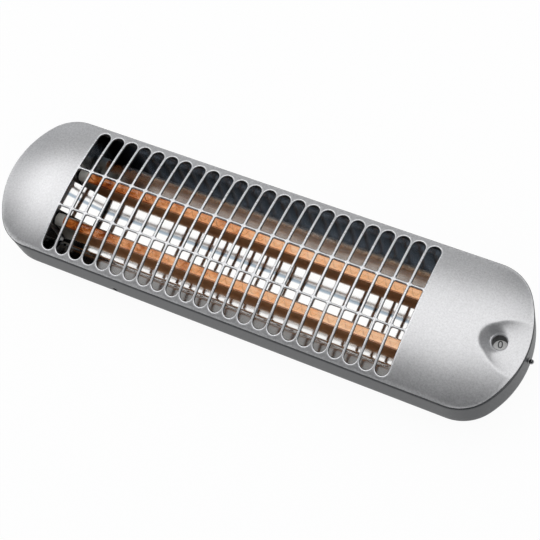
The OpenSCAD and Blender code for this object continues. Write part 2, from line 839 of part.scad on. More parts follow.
module filament(s) {
  m = len(coil_path);
  color(wire_grey) translate([0, s * lamp_y, lamp_z]) ring_solid([for (i = [0 : m - 1])
    let(a = 360 * (i - 1) / coil_rings, side = i == 0 || i == m - 1 ? [0, 1, 0] : [0, cos(a), sin(a)])
    ring_at(coil_path[i], i == 0 || i == m - 1 ? [1, 0, 0] : heading(coil_path, i), side, wire_r, wire_sides)]);
}

module filament_upper() {
  filament(1);
}

module filament_lower() {
  filament(-1);
}

module thermal_cutout() {
  x = refl_x1 + refl_t;
  face_x = x + cutout_h;
  color(steel) difference() {
    union() {
      rod_x(cutout_r, x, face_x, cutout_y, cutout_z);
      translate([x, cutout_y - cutout_r - screw_head_r, cutout_z - screw_head_r])
        cube([strip_t, 2 * (cutout_r + screw_head_r), 2 * screw_head_r]);
    }
    for (y = [cutout_y - cutout_step, cutout_y + cutout_step])
      rod_x(lead_r + fit, face_x - cutout_in, face_x + over, y, cutout_z);
  }
}

// Places children at the block's three rows.
module at_rows() {
  for (i = [-1 : 1]) translate([block_x, block_y + i * block_step, 0]) children();
}

module terminal_block() {
  screw_in = block_in / 2;
  front_y = block_y - block_w / 2;
  color(cream) difference() {
    translate([block_x, front_y, tray_t]) cube([block_l, block_w, block_h]);
    at_rows() {
      rod_x(lead_r + fit, -over, block_in, 0, wire_z);
      rod_x(lead_r + fit, block_l - block_in, block_l + over, 0, wire_z);
      for (x = [screw_in, block_l - screw_in]) translate([x, 0, wire_z])
        cylinder(r = screw_r + fit, h = block_h);
    }
    translate([earth_x, front_y + earth_in, wire_z]) rotate([90, 0, 0])
      cylinder(r = lead_r + fit, h = earth_in + over);
  }
}

module terminal_screws() {
  bottom = wire_z + lead_r + fit;
  color(brass) at_rows() for (x = [block_in / 2, block_l - block_in / 2]) translate([x, 0, bottom])
    cylinder(r = screw_r, h = tray_t + block_h - bottom);
}

module earth_stud() {
  color(brass) translate([earth_x, earth_y, 0]) cylinder(r = stud_r, h = stud_h);
}

module earth_nut() {
  color(brass) translate([earth_x, earth_y, tray_t + lug_t]) difference() {
    cylinder(r = nut_r, h = nut_h, $fn = 6);
    translate([0, 0, -over]) cylinder(r = stud_r + fit, h = nut_h + 2 * over);
  }
}

module cable_grommet() {
  color(black) translate([entry_x, -wall_hole_y, 0]) difference() {
    union() {
      cylinder(r = grommet_r - fit, h = tray_t + grommet_h);
      translate([0, 0, tray_t]) cylinder(r = grommet_r + grommet_flange, h = grommet_h);
    }
    translate([0, 0, -over]) cylinder(r = entry_r, h = tray_t + grommet_h + 2 * over);
  }
}

// Places children at the two corners of the switch that its lid is screwed to.
module at_lid_posts() {
  for (s = [-1, 1]) translate([spindle_x + s * lid_post, -s * lid_post, 0]) children();
}

module switch_case() {
  inner = case_w - 2 * case_wall;
  left_x = spindle_x - case_w / 2;
  color(bakelite) difference() {
    union() {
      translate([spindle_x, 0, case_z]) difference() {
        translate([-case_w / 2, -case_w / 2, 0]) cube([case_w, case_w, case_h]);
        translate([-inner / 2, -inner / 2, case_wall]) cube([inner, inner, case_h]);
      }
      translate([spindle_x, 0, case_z]) cylinder(r = boss_r, h = case_wall + boss_h);
      at_lid_posts() translate([0, 0, case_z]) cylinder(r = screw_head_r, h = case_h);
      for (s = [-1, 1]) translate([spindle_x, s * ear_y, case_z]) {
        cylinder(r = ear_r, h = ear_h);
        translate([-ear_r, s > 0 ? -ear_r - fit : 0, 0]) cube([2 * ear_r, ear_r + fit, ear_h]);
      }
    }
    translate([spindle_x, 0, case_in_z]) cylinder(r = spindle_r + run, h = case_h);
    at_lid_posts() translate([0, 0, lid_z - screw_head_r * 2]) cylinder(r = screw_r + fit, h = case_h);
    for (s = [-1, 1]) {
      translate([spindle_x, s * ear_y, case_z - over]) cylinder(r = screw_r + fit, h = ear_h + 2 * over);
      rod_x(lead_r + fit, left_x - over, left_x + case_wall + over, s * port_low_y, port_low_z);
    }
    rod_x(lead_r + fit, left_x - over, left_x + case_wall + over, -port_high_y, port_high_z);
  }
}

module switch_lid() {
  color(bakelite) difference() {
    translate([spindle_x - case_w / 2, -case_w / 2, lid_z]) cube([case_w, case_w, lid_t]);
    translate([spindle_x, 0, lid_z - over]) cylinder(r = spindle_r + run, h = lid_t + 2 * over);
    translate([pivot_x, pivot_y, lid_z - over]) cylinder(r = pivot_r + fit, h = lid_t + 2 * over);
    at_lid_posts() translate([0, 0, lid_z - over]) cylinder(r = screw_r + fit, h = lid_t + 2 * over);
  }
}

module switch_contacts() {
  wall_x = case_wall - case_w / 2;
  near = cam_r + pass;
  color(brass) translate([spindle_x, 0, case_in_z]) {
    for (s = [-1, 1]) scale([1, s, 1]) {
      translate([wall_x, port_low_y - strip_w / 2, 0]) cube([strip_t, strip_w, strip_h]);
      translate([wall_x, port_low_y - strip_w / 2, 0]) cube([strip_w / 2 - wall_x, strip_w, strip_t]);
      translate([-strip_w / 2, near, 0]) cube([strip_w, port_low_y + strip_w / 2 - near, strip_t]);
      translate([-strip_w / 2, near, 0]) cube([strip_w, strip_t, strip_h]);
    }
    translate([wall_x, -port_high_y - strip_w / 2, 0]) cube([strip_t, strip_w, strip_h]);
    translate([wall_x, -port_high_y - strip_w / 2, 0]) cube([-near - wall_x, strip_w, strip_t]);
    translate([-near - strip_t, -port_high_y - strip_w / 2, 0]) cube([strip_t, port_high_y + strip_w, strip_h]);
  }
}

module switch_screws() {
  color(steel) {
    for (s = [-1, 1]) translate([spindle_x, s * ear_y, case_z + ear_h]) small_screw(ear_h + tray_t);
    at_lid_posts() translate([0, 0, lid_top]) small_screw(lid_t + screw_head_r * 2 - fit);
  }
}

module detent_spring() {
  near = ratchet_r + pass;
  color(steel) translate([spindle_x, 0, lid_top]) {
    translate([-2 * near, -near - detent_t - strip_w, 0]) cube([strip_w, strip_w, pass + ratchet_t]);
    translate([-2 * near, -near - detent_t, pass]) cube([2 * near + spindle_r, detent_t, ratchet_t]);
  }
}

module spindle() {
  foot_z = case_in_z + run;
  color(steel) translate([spindle_x, 0, foot_z]) cylinder(r = spindle_r, h = disc_z + disc_t - foot_z);
}

module switch_cam() {
  color(cream) translate([spindle_x, 0, cam_z]) difference() {
    cylinder(r = cam_r, h = cam_h);
    translate([0, 0, -over]) cylinder(r = spindle_r + fit, h = cam_h + 2 * over);
    for (a = [45 : 90 : 315]) rotate([0, 0, a]) translate([cam_r - notch_d, -notch_w / 2, -over])
      cube([cam_r, notch_w, cam_h + 2 * over]);
  }
}

module ratchet_wheel() {
  color(brass) translate([spindle_x, 0, gear_z]) difference() {
    linear_extrude(ratchet_t)
      polygon([for (a = [0 : 45 : 315]) for (r = [ratchet_r, ratchet_r - tooth_h]) [r * cos(a), r * sin(a)]]);
    translate([0, 0, -over]) cylinder(r = spindle_r + fit, h = ratchet_t + 2 * over);
  }
}

module indicator_disc() {
  color(pale_grey) translate([spindle_x, 0, disc_z]) difference() {
    cylinder(r = disc_r, h = disc_t);
    translate([0, 0, -over]) cylinder(r = spindle_r + fit, h = disc_t + 2 * over);
  }
}

module pivot_pin() {
  top = gear_z + lever_t + pass;
  color(steel) translate([pivot_x, pivot_y, 0]) {
    translate([0, 0, lid_z]) cylinder(r = pivot_r, h = top - lid_z);
    translate([0, 0, top]) cylinder(r = lever_boss_r - pass, h = strip_t);
  }
}

module pull_lever() {
  slot_half = cross_pin_r + pass;
  color(brass) translate([pivot_x, pivot_y, gear_z]) difference() {
    linear_extrude(lever_t) difference() {
      union() {
        circle(r = lever_boss_r);
        translate([-lever_w / 2, -pivot_y + cross_pin_r]) square([lever_w, pivot_y - cross_pin_r]);
        translate([-fork_w / 2, -fork_l]) square([fork_w, fork_l - pivot_y + cross_pin_r + pass + prong_w]);
        rotate(pawl_angle) translate([0, -pawl_r]) square([pawl_l, 2 * pawl_r]);
        rotate(pawl_angle) translate([pawl_l, 0]) circle(r = pawl_r);
      }
      translate([0, -pivot_y]) circle(r = slot_half);
      translate([-slot_half, -fork_l - over]) square([2 * slot_half, fork_l + over - pivot_y]);
    }
    translate([0, 0, -over]) cylinder(r = pivot_r + run, h = lever_t + 2 * over);
  }
}

module pull_rod() {
  color(steel) {
    rod_x(rod_r, pivot_x - cross_pin_r - prong_w / 2, knob_x + knob_r - knob_wall, 0, rod_z);
    rod_x(collar_r, collar_x, collar_x + collar_l, 0, rod_z);
    translate([pivot_x, 0, gear_z + detent_t]) cylinder(r = cross_pin_r, h = rod_z - gear_z - detent_t);
  }
}

module pull_bead() {
  color(black) translate([knob_x, 0, rod_z]) rotate([0, 90, 0]) rotate_extrude() difference() {
    intersection() {
      circle(r = knob_r);
      translate([0, -knob_r]) square([knob_r, 2 * knob_r]);
    }
    translate([0, -knob_r - over]) square([rod_r + fit, 2 * knob_r + over - knob_wall]);
  }
}

module return_spring() {
  color(steel) difference() {
    rod_x(collar_r, collar_x + collar_l, bush_x, 0, rod_z);
    rod_x((rod_r + collar_r) / 2, collar_x, bush_x + over, 0, rod_z);
  }
}

module pull_bush() {
  color(black) difference() {
    union() {
      rod_x(bush_body_r, bush_x, bush_x + bush_l, 0, rod_z);
      rod_x(bush_r, bush_x, half_l + bush_stand, 0, rod_z);
    }
    rod_x(rod_r + run, bush_x - over, half_l + bush_stand + over, 0, rod_z);
  }
}

// A route with each of its corners rounded.
function rounded(route) = concat([route[0]],
  [for (i = [1 : len(route) - 2])
    let(p = route[i], u = route[i - 1] - p, v = route[i + 1] - p,
      a = min(lead_bend, norm(u) / 2.2), b = min(lead_bend, norm(v) / 2.2))
    for (k = [0 : bend_points]) let(q = k / bend_points)
      p + (1 - q) * (1 - q) * a * unit(u) + q * q * b * unit(v)],
  [route[len(route) - 1]]);

// An insulated lead along a route.
module lead(route) {
  path = rounded(route);
  sides = carried(path, 0, [0.3, 0.5, 0.8]);
  ring_solid([for (i = [0 : len(path) - 1]) ring_at(path[i], heading(path, i), sides[i], lead_r, lead_sides)]);
}

module lead_left_upper() {
  pin_end = lamp_x0 - cap_l - pin_out;
  row_y = block_y + block_step;
  color(lead_white) lead([[pin_end, lamp_y, lamp_z], [left_bay_x, lamp_y, lamp_z], [left_bay_x, lane_y, lane_z],
    [bay_x, lane_y, lane_z], [bay_x, row_y, wire_z], [block_x + block_in, row_y, wire_z]]);
}

module lead_left_lower() {
  pin_end = lamp_x0 - cap_l - pin_out;
  color(lead_white) lead([[pin_end, -lamp_y, lamp_z], [left_bay_x, -lamp_y, lamp_z],
    [left_bay_x, -lane_y, lane_z], [bay_x, -lane_y, lane_z],
    [bay_x, -port_low_y, port_low_z], [port_x, -port_low_y, port_low_z]]);
}

module lead_right_upper() {
  row_y = cutout_y - cutout_step;
  color(lead_white) lead([[lamp_x1 + cap_l + pin_out, lamp_y, lamp_z], [cutout_far_x, lamp_y, lamp_z],
    [cutout_far_x, row_y, cutout_z], [cutout_in_x, row_y, cutout_z]]);
}

module lead_right_lower() {
  color(lead_white) lead([[lamp_x1 + cap_l + pin_out, -lamp_y, lamp_z], [bay_x, -lamp_y, lamp_z],
    [bay_x, -port_high_y, port_high_z], [port_x, -port_high_y, port_high_z]]);
}

module lead_cutout() {
  row_y = block_y - block_step;
  from_y = cutout_y + cutout_step;
  color(lead_brown) lead([[cutout_in_x, from_y, cutout_z], [cutout_far_x, from_y, cutout_z],
    [bay_x, row_y, wire_z + block_h / 2 + 2 * lead_r], [bay_x, row_y, wire_z],
    [block_x + block_in, row_y, wire_z]]);
}

module lead_switch() {
  low_z = tray_t + 2 * lead_r;
  color(lead_brown) lead([[block_x + block_in, block_y, wire_z], [bay_x, block_y, wire_z],
    [bay_x, block_y, low_z], [bay_x, earth_y, low_z],
    [bay_x, port_low_y, port_low_z], [port_x, port_low_y, port_low_z]]);
}

module earth_lead() {
  from_y = earth_y + nut_r + lead_r;
  lead_z = tray_t + lead_r;
  color(lead_green) difference() {
    union() {
      lead([[earth_x, from_y - lead_r / 2, lead_z], [earth_x, from_y + 2 * lead_r, lead_z],
        [earth_x, from_y + 2 * lead_r, wire_z], [earth_x, block_y - block_w / 2 + earth_in, wire_z]]);
      translate([earth_x, earth_y, tray_t]) cylinder(r = nut_r + pass, h = lug_t);
      translate([earth_x - lead_r, earth_y, tray_t]) cube([2 * lead_r, from_y - earth_y, lug_t]);
    }
    translate([earth_x, earth_y, tray_t - over]) cylinder(r = stud_r + fit, h = lug_t + 2 * over);
  }
}

front_cover();
edge_gasket();
back_tray();
window_sleeve();
cover_screws();
reflector();
reflector_end_left();
reflector_end_right();
mount_rail_left();
mount_rail_right();
lamp_bracket_left();
lamp_bracket_right();
bracket_screws();
cap_clips();
end_cap_upper_left();
end_cap_upper_right();
end_cap_lower_left();
end_cap_lower_right();
quartz_tube_upper();
quartz_tube_lower();
filament_upper();
filament_lower();
contact_pins();
thermal_cutout();
terminal_block();
terminal_screws();
earth_stud();
earth_nut();
cable_grommet();
switch_case();
switch_lid();
switch_contacts();
switch_screws();
detent_spring();
spindle();
switch_cam();
ratchet_wheel();
indicator_disc();
pivot_pin();
pull_lever();
pull_rod();
pull_bead();
return_spring();
pull_bush();
lead_left_upper();
lead_left_lower();
lead_right_upper();
lead_right_lower();
lead_cutout();
lead_switch();
earth_lead();
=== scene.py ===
"""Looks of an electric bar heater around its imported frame, in millimetres until a mesh is made."""
import math

import bmesh
import bpy
import numpy as np
from mathutils import Matrix, Vector
from mathutils.geometry import delaunay_2d_cdt


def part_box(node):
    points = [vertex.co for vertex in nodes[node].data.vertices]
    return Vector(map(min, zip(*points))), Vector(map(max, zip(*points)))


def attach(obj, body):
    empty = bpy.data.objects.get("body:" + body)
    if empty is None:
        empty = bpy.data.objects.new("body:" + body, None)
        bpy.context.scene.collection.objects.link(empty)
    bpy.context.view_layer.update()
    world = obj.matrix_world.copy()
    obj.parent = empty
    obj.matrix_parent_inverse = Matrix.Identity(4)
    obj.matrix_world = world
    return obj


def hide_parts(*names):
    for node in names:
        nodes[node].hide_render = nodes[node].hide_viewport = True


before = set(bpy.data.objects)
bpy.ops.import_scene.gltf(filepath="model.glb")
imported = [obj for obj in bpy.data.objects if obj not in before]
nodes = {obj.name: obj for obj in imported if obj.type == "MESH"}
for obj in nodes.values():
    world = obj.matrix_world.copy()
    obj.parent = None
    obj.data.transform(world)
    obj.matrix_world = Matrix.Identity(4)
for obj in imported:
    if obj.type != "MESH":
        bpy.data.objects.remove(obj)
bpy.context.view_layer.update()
scene = bpy.context.scene
MM = 0.001

# Camera, fitted to the photograph by the casing's outline, its rim and the slots
RIGHT = (0.88506, 0.4199, -0.20087)
DOWN = (0.3213, -0.86336, -0.38907)
AHEAD = (-0.33679, 0.27982, -0.89904)
EYE = (485.61, -393.41, 1285.16)
LENS, SENSOR_W = 94.94, 36
cam_data = bpy.data.cameras.new("camera")
cam_data.lens = LENS
cam_data.sensor_width = SENSOR_W
cam_data.clip_start = 0.05
cam_data.clip_end = 50
cam = bpy.data.objects.new("camera", cam_data)
scene.collection.objects.link(cam)
cam.matrix_world = Matrix([
    [RIGHT[i], -DOWN[i], -AHEAD[i], EYE[i] * MM] for i in range(3)] + [[0, 0, 0, 1]])
scene.camera = cam
scene.view_settings.view_transform = "Standard"


def node_box(name):
    """A CAD node's lowest and highest corner at rest, in millimetres to a hundredth."""
    return [[round(c / MM, 2) for c in corner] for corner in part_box(name)]


def middle(name):
    """The middle of a CAD node's box, in millimetres."""
    low, high = node_box(name)
    return [(a + b) / 2 for a, b in zip(low, high)]


# Casing in plan: its ends, and the corners between end and side, are arcs
HALF_L, HALF_W, TRAY_H = node_box("back_tray")[1]
END_R, CORNER_R = 98.0, 44.0
END_X = HALF_L - END_R
END_A = math.asin((HALF_W - CORNER_R) / (END_R - CORNER_R))
CORNER_X = END_X + (END_R - CORNER_R) * math.cos(END_A)
CORNER_Y = HALF_W - CORNER_R
END_STEPS, CORNER_STEPS, SIDE_STEPS = 56, 20, 150

# Cover: a sheet whose crown is a cylinder with domed ends, and whose edge is rolled over at the rim
COVER_T = 1.2
CROWN_R = 272.0
CROWN_Z = node_box("front_cover")[1][2] - CROWN_R
DOME_X = 216.0
RIM_Z = node_box("edge_gasket")[1][2]
EDGE_IN = 1.0  # how far the roll reaches in from the outline
EDGE_ROLL = 1.0  # its height, where the edge is high enough
EDGE_SHARE = 0.75  # its share of the height over the rim, where the edge is low
EDGE_T = 0.3  # the sheet's least thickness there
EDGE_FLOOR = 0.25  # least height of the inner face over the rim, unless the sheet is at its thinnest
EDGE_BREAK = 0.2  # bevel of the rim

# Grille: slots with round ends and rolled edges, between bars that two rods cross
PITCH, SLOT_N = 16.0, 24
GRILLE_X0 = -211.0
GRILLE_X1 = GRILLE_X0 + SLOT_N * PITCH
SLOT_X = [GRILLE_X0 + (i + 0.5) * PITCH for i in range(SLOT_N)]
SLOT_R = 6.5
ROUND_Y = 61.9  # where a slot's round end starts
ROLL = PITCH / 2 - SLOT_R
SCALLOP_R = SLOT_R + ROLL
GRILLE_T = 2.6  # depth of the bars
SIDE_N, ROUND_N = 30, 24
ROD_Y, ROD_W = 21.9, 2.2
ROD_END = 7.6  # how far a rod reaches into the bars from the slot's middle
ROD_FILLET, ROD_GROW = 2.0, 1.6
ROD_MID, ROD_RISE = -1.35, 1.1  # height where its round top starts, and its rise
ROD_BREAK, ROD_SHORT = 0.3, 0.05

# Fan pressed into the cover's right end, which is deepest near its tip
FAN_FROM = 205  # no part of it lies nearer to the middle
FAN_TIP, FAN_HALF, FAN_FLARE = 239.0, 30.0, 0.35  # its tip, half its width at the outline, how it widens
FAN_LEAST, FAN_MOST, FAN_STEEPEST = 0.02, 1.1, 3.0  # limits of the widening and of the dish's rise
FAN_DEPTH, FAN_DEEPER = 1.15, 0.045  # depth at the outline, and growth for each millimetre inwards
FAN_EASE = 16  # length over which the depth starts at the tip
CREASE_Z, CREASE_SLOPE = 50.89, 0.194  # height at the outline, and rise for each millimetre inwards
FAN_BLEND = 0.5  # rounding of its border

# Window in the fan: its hole, the rolled lip round it and the funnel that leads down to the lip
WIN_X = middle("window_sleeve")[0]
HOLE_Z, HOLE_R, HOLE_DEPTH = 51.9, 7.0, 1.0
LIP_R, LIP_H, LIP_END = 8.6, 2.0, 0.4  # radius, height over the hole, and how deep in it the bend ends
LIP_N = 72
WINDOW_T = 1.05  # the sheet's thickness at the lip
FUNNEL_SLOPE, FUNNEL_REACH, FUNNEL_BLEND = 0.48, 24, 1.5

# Tray: a wall with a wide bend, a flange under the cover, and holes and screw dimples in its floor
TRAY_T, TRAY_BEND = 1.2, 14.0
FLOOR_IN = 15.5  # how far in from the outline the floor's mesh starts
WALL_Z = (20.0, 26.0, 32.0, 38.0, 43.0)
TRAY_ROLL, FLANGE_IN, FLANGE_BEND = 1.1, 6.3, 0.8  # the wall's top bend, the flange's reach and inner bend
FLANGE_EDGE = 0.2  # how far the flange's edge bulges at its middle
HOLES = [((sx * 254.0, sy * 48.0), 2.5) for sx in (-1, 1) for sy in (-1, 1)]  # centre and radius
HOLES += [((241.5, s * 23.85), 1.55) for s in (-1, 1)]
HOLES += [((231.2, -48.0), 6.5), ((227.6, 27.45), 2.05)]
HOLE_BREAK, HOLE_N = 0.25, 40
DIMPLES = [(sx * 258.0, sy * 30.0) for sx in (-1, 1) for sy in (-1, 1)]
DIMPLE_OUT, DIMPLE_IN = 6.7, 7.2  # radius at the floor's lower and upper face
DIMPLE = [(DIMPLE_OUT, 0), (6.25, 0.2), (5.95, 0.6), (5.8, 1.2), (5.7, 2.6), (5.5, 3.05), (5.1, 3.2),
          (1.65, 3.2), (1.65, 4.4), (6.2, 4.4), (6.7, 4.2), (6.95, 3.7), (7.0, 1.7), (DIMPLE_IN, TRAY_T)]
PULL_Z = middle("pull_bead")[2]
WALL_HOLES = (("bush_hole", (276, 0, PULL_Z), (0, math.pi / 2, 0), 3.05, 20),
              ("drain_hole", (-130, -HALF_W, 18), (math.pi / 2, 0, 0), 2.5, 6))

# Mirror: a sheet with a flat floor, a low bead along its middle and two sides of unlike lean
(REFL_X0, _, _), (REFL_X1, _, SIDE_TOP_Z) = node_box("reflector")
REFL_Z, REFL_T = 8, 0.8
FLAT_LOWER, FLAT_UPPER = 46.0, 38.0  # half widths of the floor towards the lower and the upper side
SIDE_BEND, SIDE_TOP_Y = 6.0, 69.0
BEAD_H, BEAD_HALF, BEAD_N = 0.05, 5.2, 12
TONGUE_X, TONGUE_L, TONGUE_HALF = -191.5, 46.5, 17  # its root, its length to the left, half its width
TONGUE_Z, TONGUE_RISE, TONGUE_CURVE, TONGUE_N = 8.3, 22.0, 1.15, 16
TONGUE_BACK, TONGUE_T = 0.4, 0.7  # how its back lies to its face, along X and down

# Lamps: two quartz tubes, coated behind
_, LAMP_Y, LAMP_Z = middle("quartz_tube_upper")
TUBE_X0, TUBE_X1 = [corner[0] for corner in node_box("quartz_tube_upper")]
TUBE_R, TUBE_BORE = 5.5, 4.5
TUBE_SHORT, TUBE_CLEAR = 0.1, 20  # gap to the solid's end, and plain end
TUBE_BREAK, TUBE_BEVEL = 0.3, 0.2  # the end's bevel, along the tube and across it
TUBE_N = 64
COAT_BELOW = -0.1  # sine of the angle under which the tube is coated

# Numbered disc under the window
SPINDLE_X = middle("spindle")[0]
DISC_TOP = node_box("indicator_disc")[1][2]
DIGIT_R, DIGIT_H, DIGIT_T, DIGIT_LIFT = 12.6, 10.5, 0.04, 0.03
DIGIT_N, SWITCH_STEPS, FIRST_DIGIT_A = 8, 4, 15

# Bead on the pull
PULL_BEAD_R = 2.5
PULL_BEAD = (node_box("pull_bead")[1][0] - PULL_BEAD_R, 0, PULL_Z)


# Mesh helpers
class Build:
    """Collects points and faces in millimetres."""

    def __init__(self):
        self.points = []
        self.faces = []
        self.finish = []

    def add(self, points, faces, finish=0):
        """Adds faces; finish is one material number, or one for each face."""
        base = len(self.points)
        self.points.extend(tuple(float(c) for c in p) for p in points)
        self.faces.extend(tuple(base + i for i in f) for f in faces)
        self.finish.extend([finish] * len(faces) if isinstance(finish, int) else finish)

    def rings(self, rings, capped=False, finish=0):
        """Skins closed rings of equally many points; finish may be a function of ring and point."""
        n, last = len(rings[0]), len(rings) - 1
        faces, finishes = [], []
        for i in range(last):
            for j in range(n):
                k = (j + 1) % n
                faces.append((i * n + j, i * n + k, (i + 1) * n + k, (i + 1) * n + j))
                finishes.append(finish if isinstance(finish, int) else finish(i, j))
        if capped:
            faces.append(tuple(range(n - 1, -1, -1)))
            faces.append(tuple(last * n + j for j in range(n)))
            finishes += [finishes[0]] * 2
        self.add([p for ring in rings for p in ring], faces, finishes)

    def object(self, name, *materials, weld=0.0, smooth=45.0):
        """Makes the object: points closer than weld become one, and edges sharper than smooth stay hard."""
        mesh = bpy.data.meshes.new(name)
        mesh.from_pydata([(x * MM, y * MM, z * MM) for x, y, z in self.points], [], self.faces)
        for material in materials:
            mesh.materials.append(material)
        mesh.polygons.foreach_set("material_index", self.finish)
        obj = bpy.data.objects.new(name, mesh)
        scene.collection.objects.link(obj)
        bm = bmesh.new()
        bm.from_mesh(mesh)
        if weld:
            bmesh.ops.remove_doubles(bm, verts=bm.verts, dist=weld * MM)
        bmesh.ops.dissolve_degenerate(bm, dist=1e-7, edges=bm.edges)
        bmesh.ops.recalc_face_normals(bm, faces=bm.faces)
        for f in bm.faces:
            f.smooth = True
        for e in bm.edges:
            if len(e.link_faces) == 2 and e.calc_face_angle(0) > math.radians(smooth):
                e.smooth = False
        bm.to_mesh(mesh)
        bm.free()
        return obj


def sin_cos(angle):
    """Sine and cosine of an angle in degrees."""
    return math.sin(math.radians(angle)), math.cos(math.radians(angle))


def circle(centre, r, n):
    """A circle of n points in plan, anticlockwise."""
    angles = [2 * math.pi * j / n for j in range(n)]
    return [(centre[0] + r * math.cos(a), centre[1] + r * math.sin(a)) for a in angles]


def along_x(profile, centre, n):
    """Rings round an axis along X through centre, from a profile of (radius, place along X)."""
    return [[(centre[0] + x, y, z) for y, z in circle(centre[1:], r, n)] for r, x in profile]


def level(plan, z):
    """A plan's points at one height."""
    return [(x, y, z) for x, y in plan]


def arc(cx, cy, r, a0, a1, n, first=True):
    """Points of an arc from a0 to a1 in degrees, without its first point if first is false."""
    angles = [math.radians(a0 + (a1 - a0) * i / n) for i in range(0 if first else 1, n + 1)]
    return [(cx + r * math.cos(a), cy + r * math.sin(a)) for a in angles]


def outline(inset):
    """The casing's outline in plan, drawn in by inset, anticlockwise."""
    corner, end, a = CORNER_R - inset, END_R - inset, math.degrees(END_A)
    w = HALF_W - inset
    xs = [CORNER_X - 2 * CORNER_X * i / SIDE_STEPS for i in range(1, SIDE_STEPS)]
    return (arc(END_X, 0, end, -a, a, END_STEPS, False)
            + arc(CORNER_X, CORNER_Y, corner, a, 90, CORNER_STEPS, False)
            + [(x, w) for x in xs] + [(-CORNER_X, w)]
            + arc(-CORNER_X, CORNER_Y, corner, 90, 180 - a, CORNER_STEPS, False)
            + arc(-END_X, 0, end, 180 - a, 180 + a, END_STEPS, False)
            + arc(-CORNER_X, -CORNER_Y, corner, 180 + a, 270, CORNER_STEPS, False)
            + [(-x, -w) for x in xs] + [(CORNER_X, -w)]
            + arc(CORNER_X, -CORNER_Y, corner, 270, 360 - a, CORNER_STEPS, False))


def triangles(loops, inner):
    """Fills a plan with triangles that keep the loops' edges: returns its points and the triangles."""
    points, edges = [], []
    for loop in loops:
        k = len(points)
        points += loop
        edges += [(k + i, k + (i + 1) % len(loop)) for i in range(len(loop))]
    points += inner
    found, _, tris, *_ = delaunay_2d_cdt([Vector(p) for p in points], edges, [], 0, 1e-5)
    return np.array([(v.x, v.y) for v in found]), np.array(tris)


def grid(start, step, columns, rows, shift):
    """Points of a net whose odd rows are shifted."""
    return [(start + i * step + (shift if j % 2 else 0), j * step) for i in columns for j in rows]


# Cover's surface
def crown(x, y):
    """Height of the cover's plain crown, a cylinder that ends in two domes."""
    dx = np.maximum(np.abs(x) - DOME_X, 0)
    return CROWN_Z + np.sqrt(CROWN_R ** 2 - y * y - dx * dx)


def smooth_min(a, b, k):
    """The lower of two heights, blended where they differ by less than k."""
    h = np.clip(0.5 + 0.5 * (b - a) / k, 0, 1)
    return b * (1 - h) + a * h - k * h * (1 - h)


def fan(x, y):
    """Height of the fan's dish, deepest on the middle line."""
    ahead = np.clip((x - FAN_TIP) / (HALF_L - FAN_TIP), FAN_LEAST, FAN_MOST)
    half = FAN_HALF * ahead ** FAN_FLARE
    ease = np.clip((x - FAN_TIP) / FAN_EASE, 0, 1)
    depth = (FAN_DEPTH + FAN_DEEPER * (HALF_L - x)) * ease ** 2 * (3 - 2 * ease)
    crease = CREASE_Z + CREASE_SLOPE * (HALF_L - x)
    return crease - depth * (1 - np.minimum((y / half) ** 2, FAN_STEEPEST))


def surface(x, y):
    """Height of the cover's outer face: the crown, with the fan and the window's funnel."""
    x, y = np.asarray(x, float), np.asarray(y, float)
    out = crown(x, y)
    near = x > FAN_FROM
    if np.any(near):
        dish = fan(x[near], y[near])
        r = np.hypot(x[near] - WIN_X, y[near])
        funnel = HOLE_Z + LIP_H + FUNNEL_SLOPE * np.maximum(r - LIP_R, 0)
        low = np.where(r > FUNNEL_REACH, dish, smooth_min(dish, funnel, FUNNEL_BLEND))
        out[near] = smooth_min(out[near], low, FAN_BLEND)
    return out


def heights(points):
    """Heights of the outer face at a plan's points."""
    a = np.array([p[:2] for p in points], float)
    return surface(a[:, 0], a[:, 1])


def at_heights(points, drop):
    """The plan's points on the outer face, lowered by drop."""
    return [(p[0], p[1], float(h)) for p, h in zip(points, heights(points) - drop)]


def scallop_y(x):
    """How far from the middle line the scalloped edge round the slots' ends lies at x."""
    near = np.abs(np.asarray(x, float)[..., None] - np.array(SLOT_X))
    dx = np.minimum(np.min(near, axis=-1), SCALLOP_R)
    return ROUND_Y + np.sqrt(np.maximum(SCALLOP_R ** 2 - dx * dx, 0))


# Cover's mesh, with its material numbers: paint, a painted highlight, a painted lamp glow and painted shade
PAINT, PAINTED_HIGHLIGHT, PAINTED_GLOW, PAINTED_SHADE = 0, 1, 2, 3


def add_rim(b, edge, inner_z):
    """The cover's outer edge: rolled over, down to the rim and up again inside, with painted shade under
    the roll.
    """
    edge_z = heights(edge)
    roll = np.minimum(EDGE_ROLL, EDGE_SHARE * (edge_z - RIM_Z))
    outer = outline(0.0)
    rings = []
    for a in np.linspace(90, 0, 7):
        s, c = sin_cos(a)
        rings.append([(p[0] + (q[0] - p[0]) * c, p[1] + (q[1] - p[1]) * c, float(z - r * (1 - s)))
                      for p, q, z, r in zip(edge, outer, edge_z, roll)])
    rings.append(level(outer, RIM_Z + EDGE_BREAK))
    rings.append(level(outline(EDGE_BREAK), RIM_Z))
    rings.append(level(outline(COVER_T - EDGE_BREAK), RIM_Z))
    rings.append(level(outline(COVER_T), RIM_Z + EDGE_BREAK))
    rings.append([(x, y, float(z)) for (x, y), z in zip(outline(COVER_T), inner_z)])
    # painted shade under the roll stands for the shadow gap above the gasket
    shade_bands = range(2, 9)  # from under the roll's top to the rim's flat edge
    b.rings(rings, finish=lambda i, j: PAINTED_SHADE if i in shade_bands else PAINT)


def stadium(cx, offset):
    """The edge of a slot, drawn out by offset, anticlockwise from its lower right."""
    r = SLOT_R + offset
    right = [(cx + r, -ROUND_Y + 2 * ROUND_Y * i / SIDE_N) for i in range(SIDE_N)]
    left = [(cx - r, ROUND_Y - 2 * ROUND_Y * i / SIDE_N) for i in range(SIDE_N)]
    return (right + arc(cx, ROUND_Y, r, 0, 180, ROUND_N)[:-1] + left
            + arc(cx, -ROUND_Y, r, 180, 360, ROUND_N)[:-1])


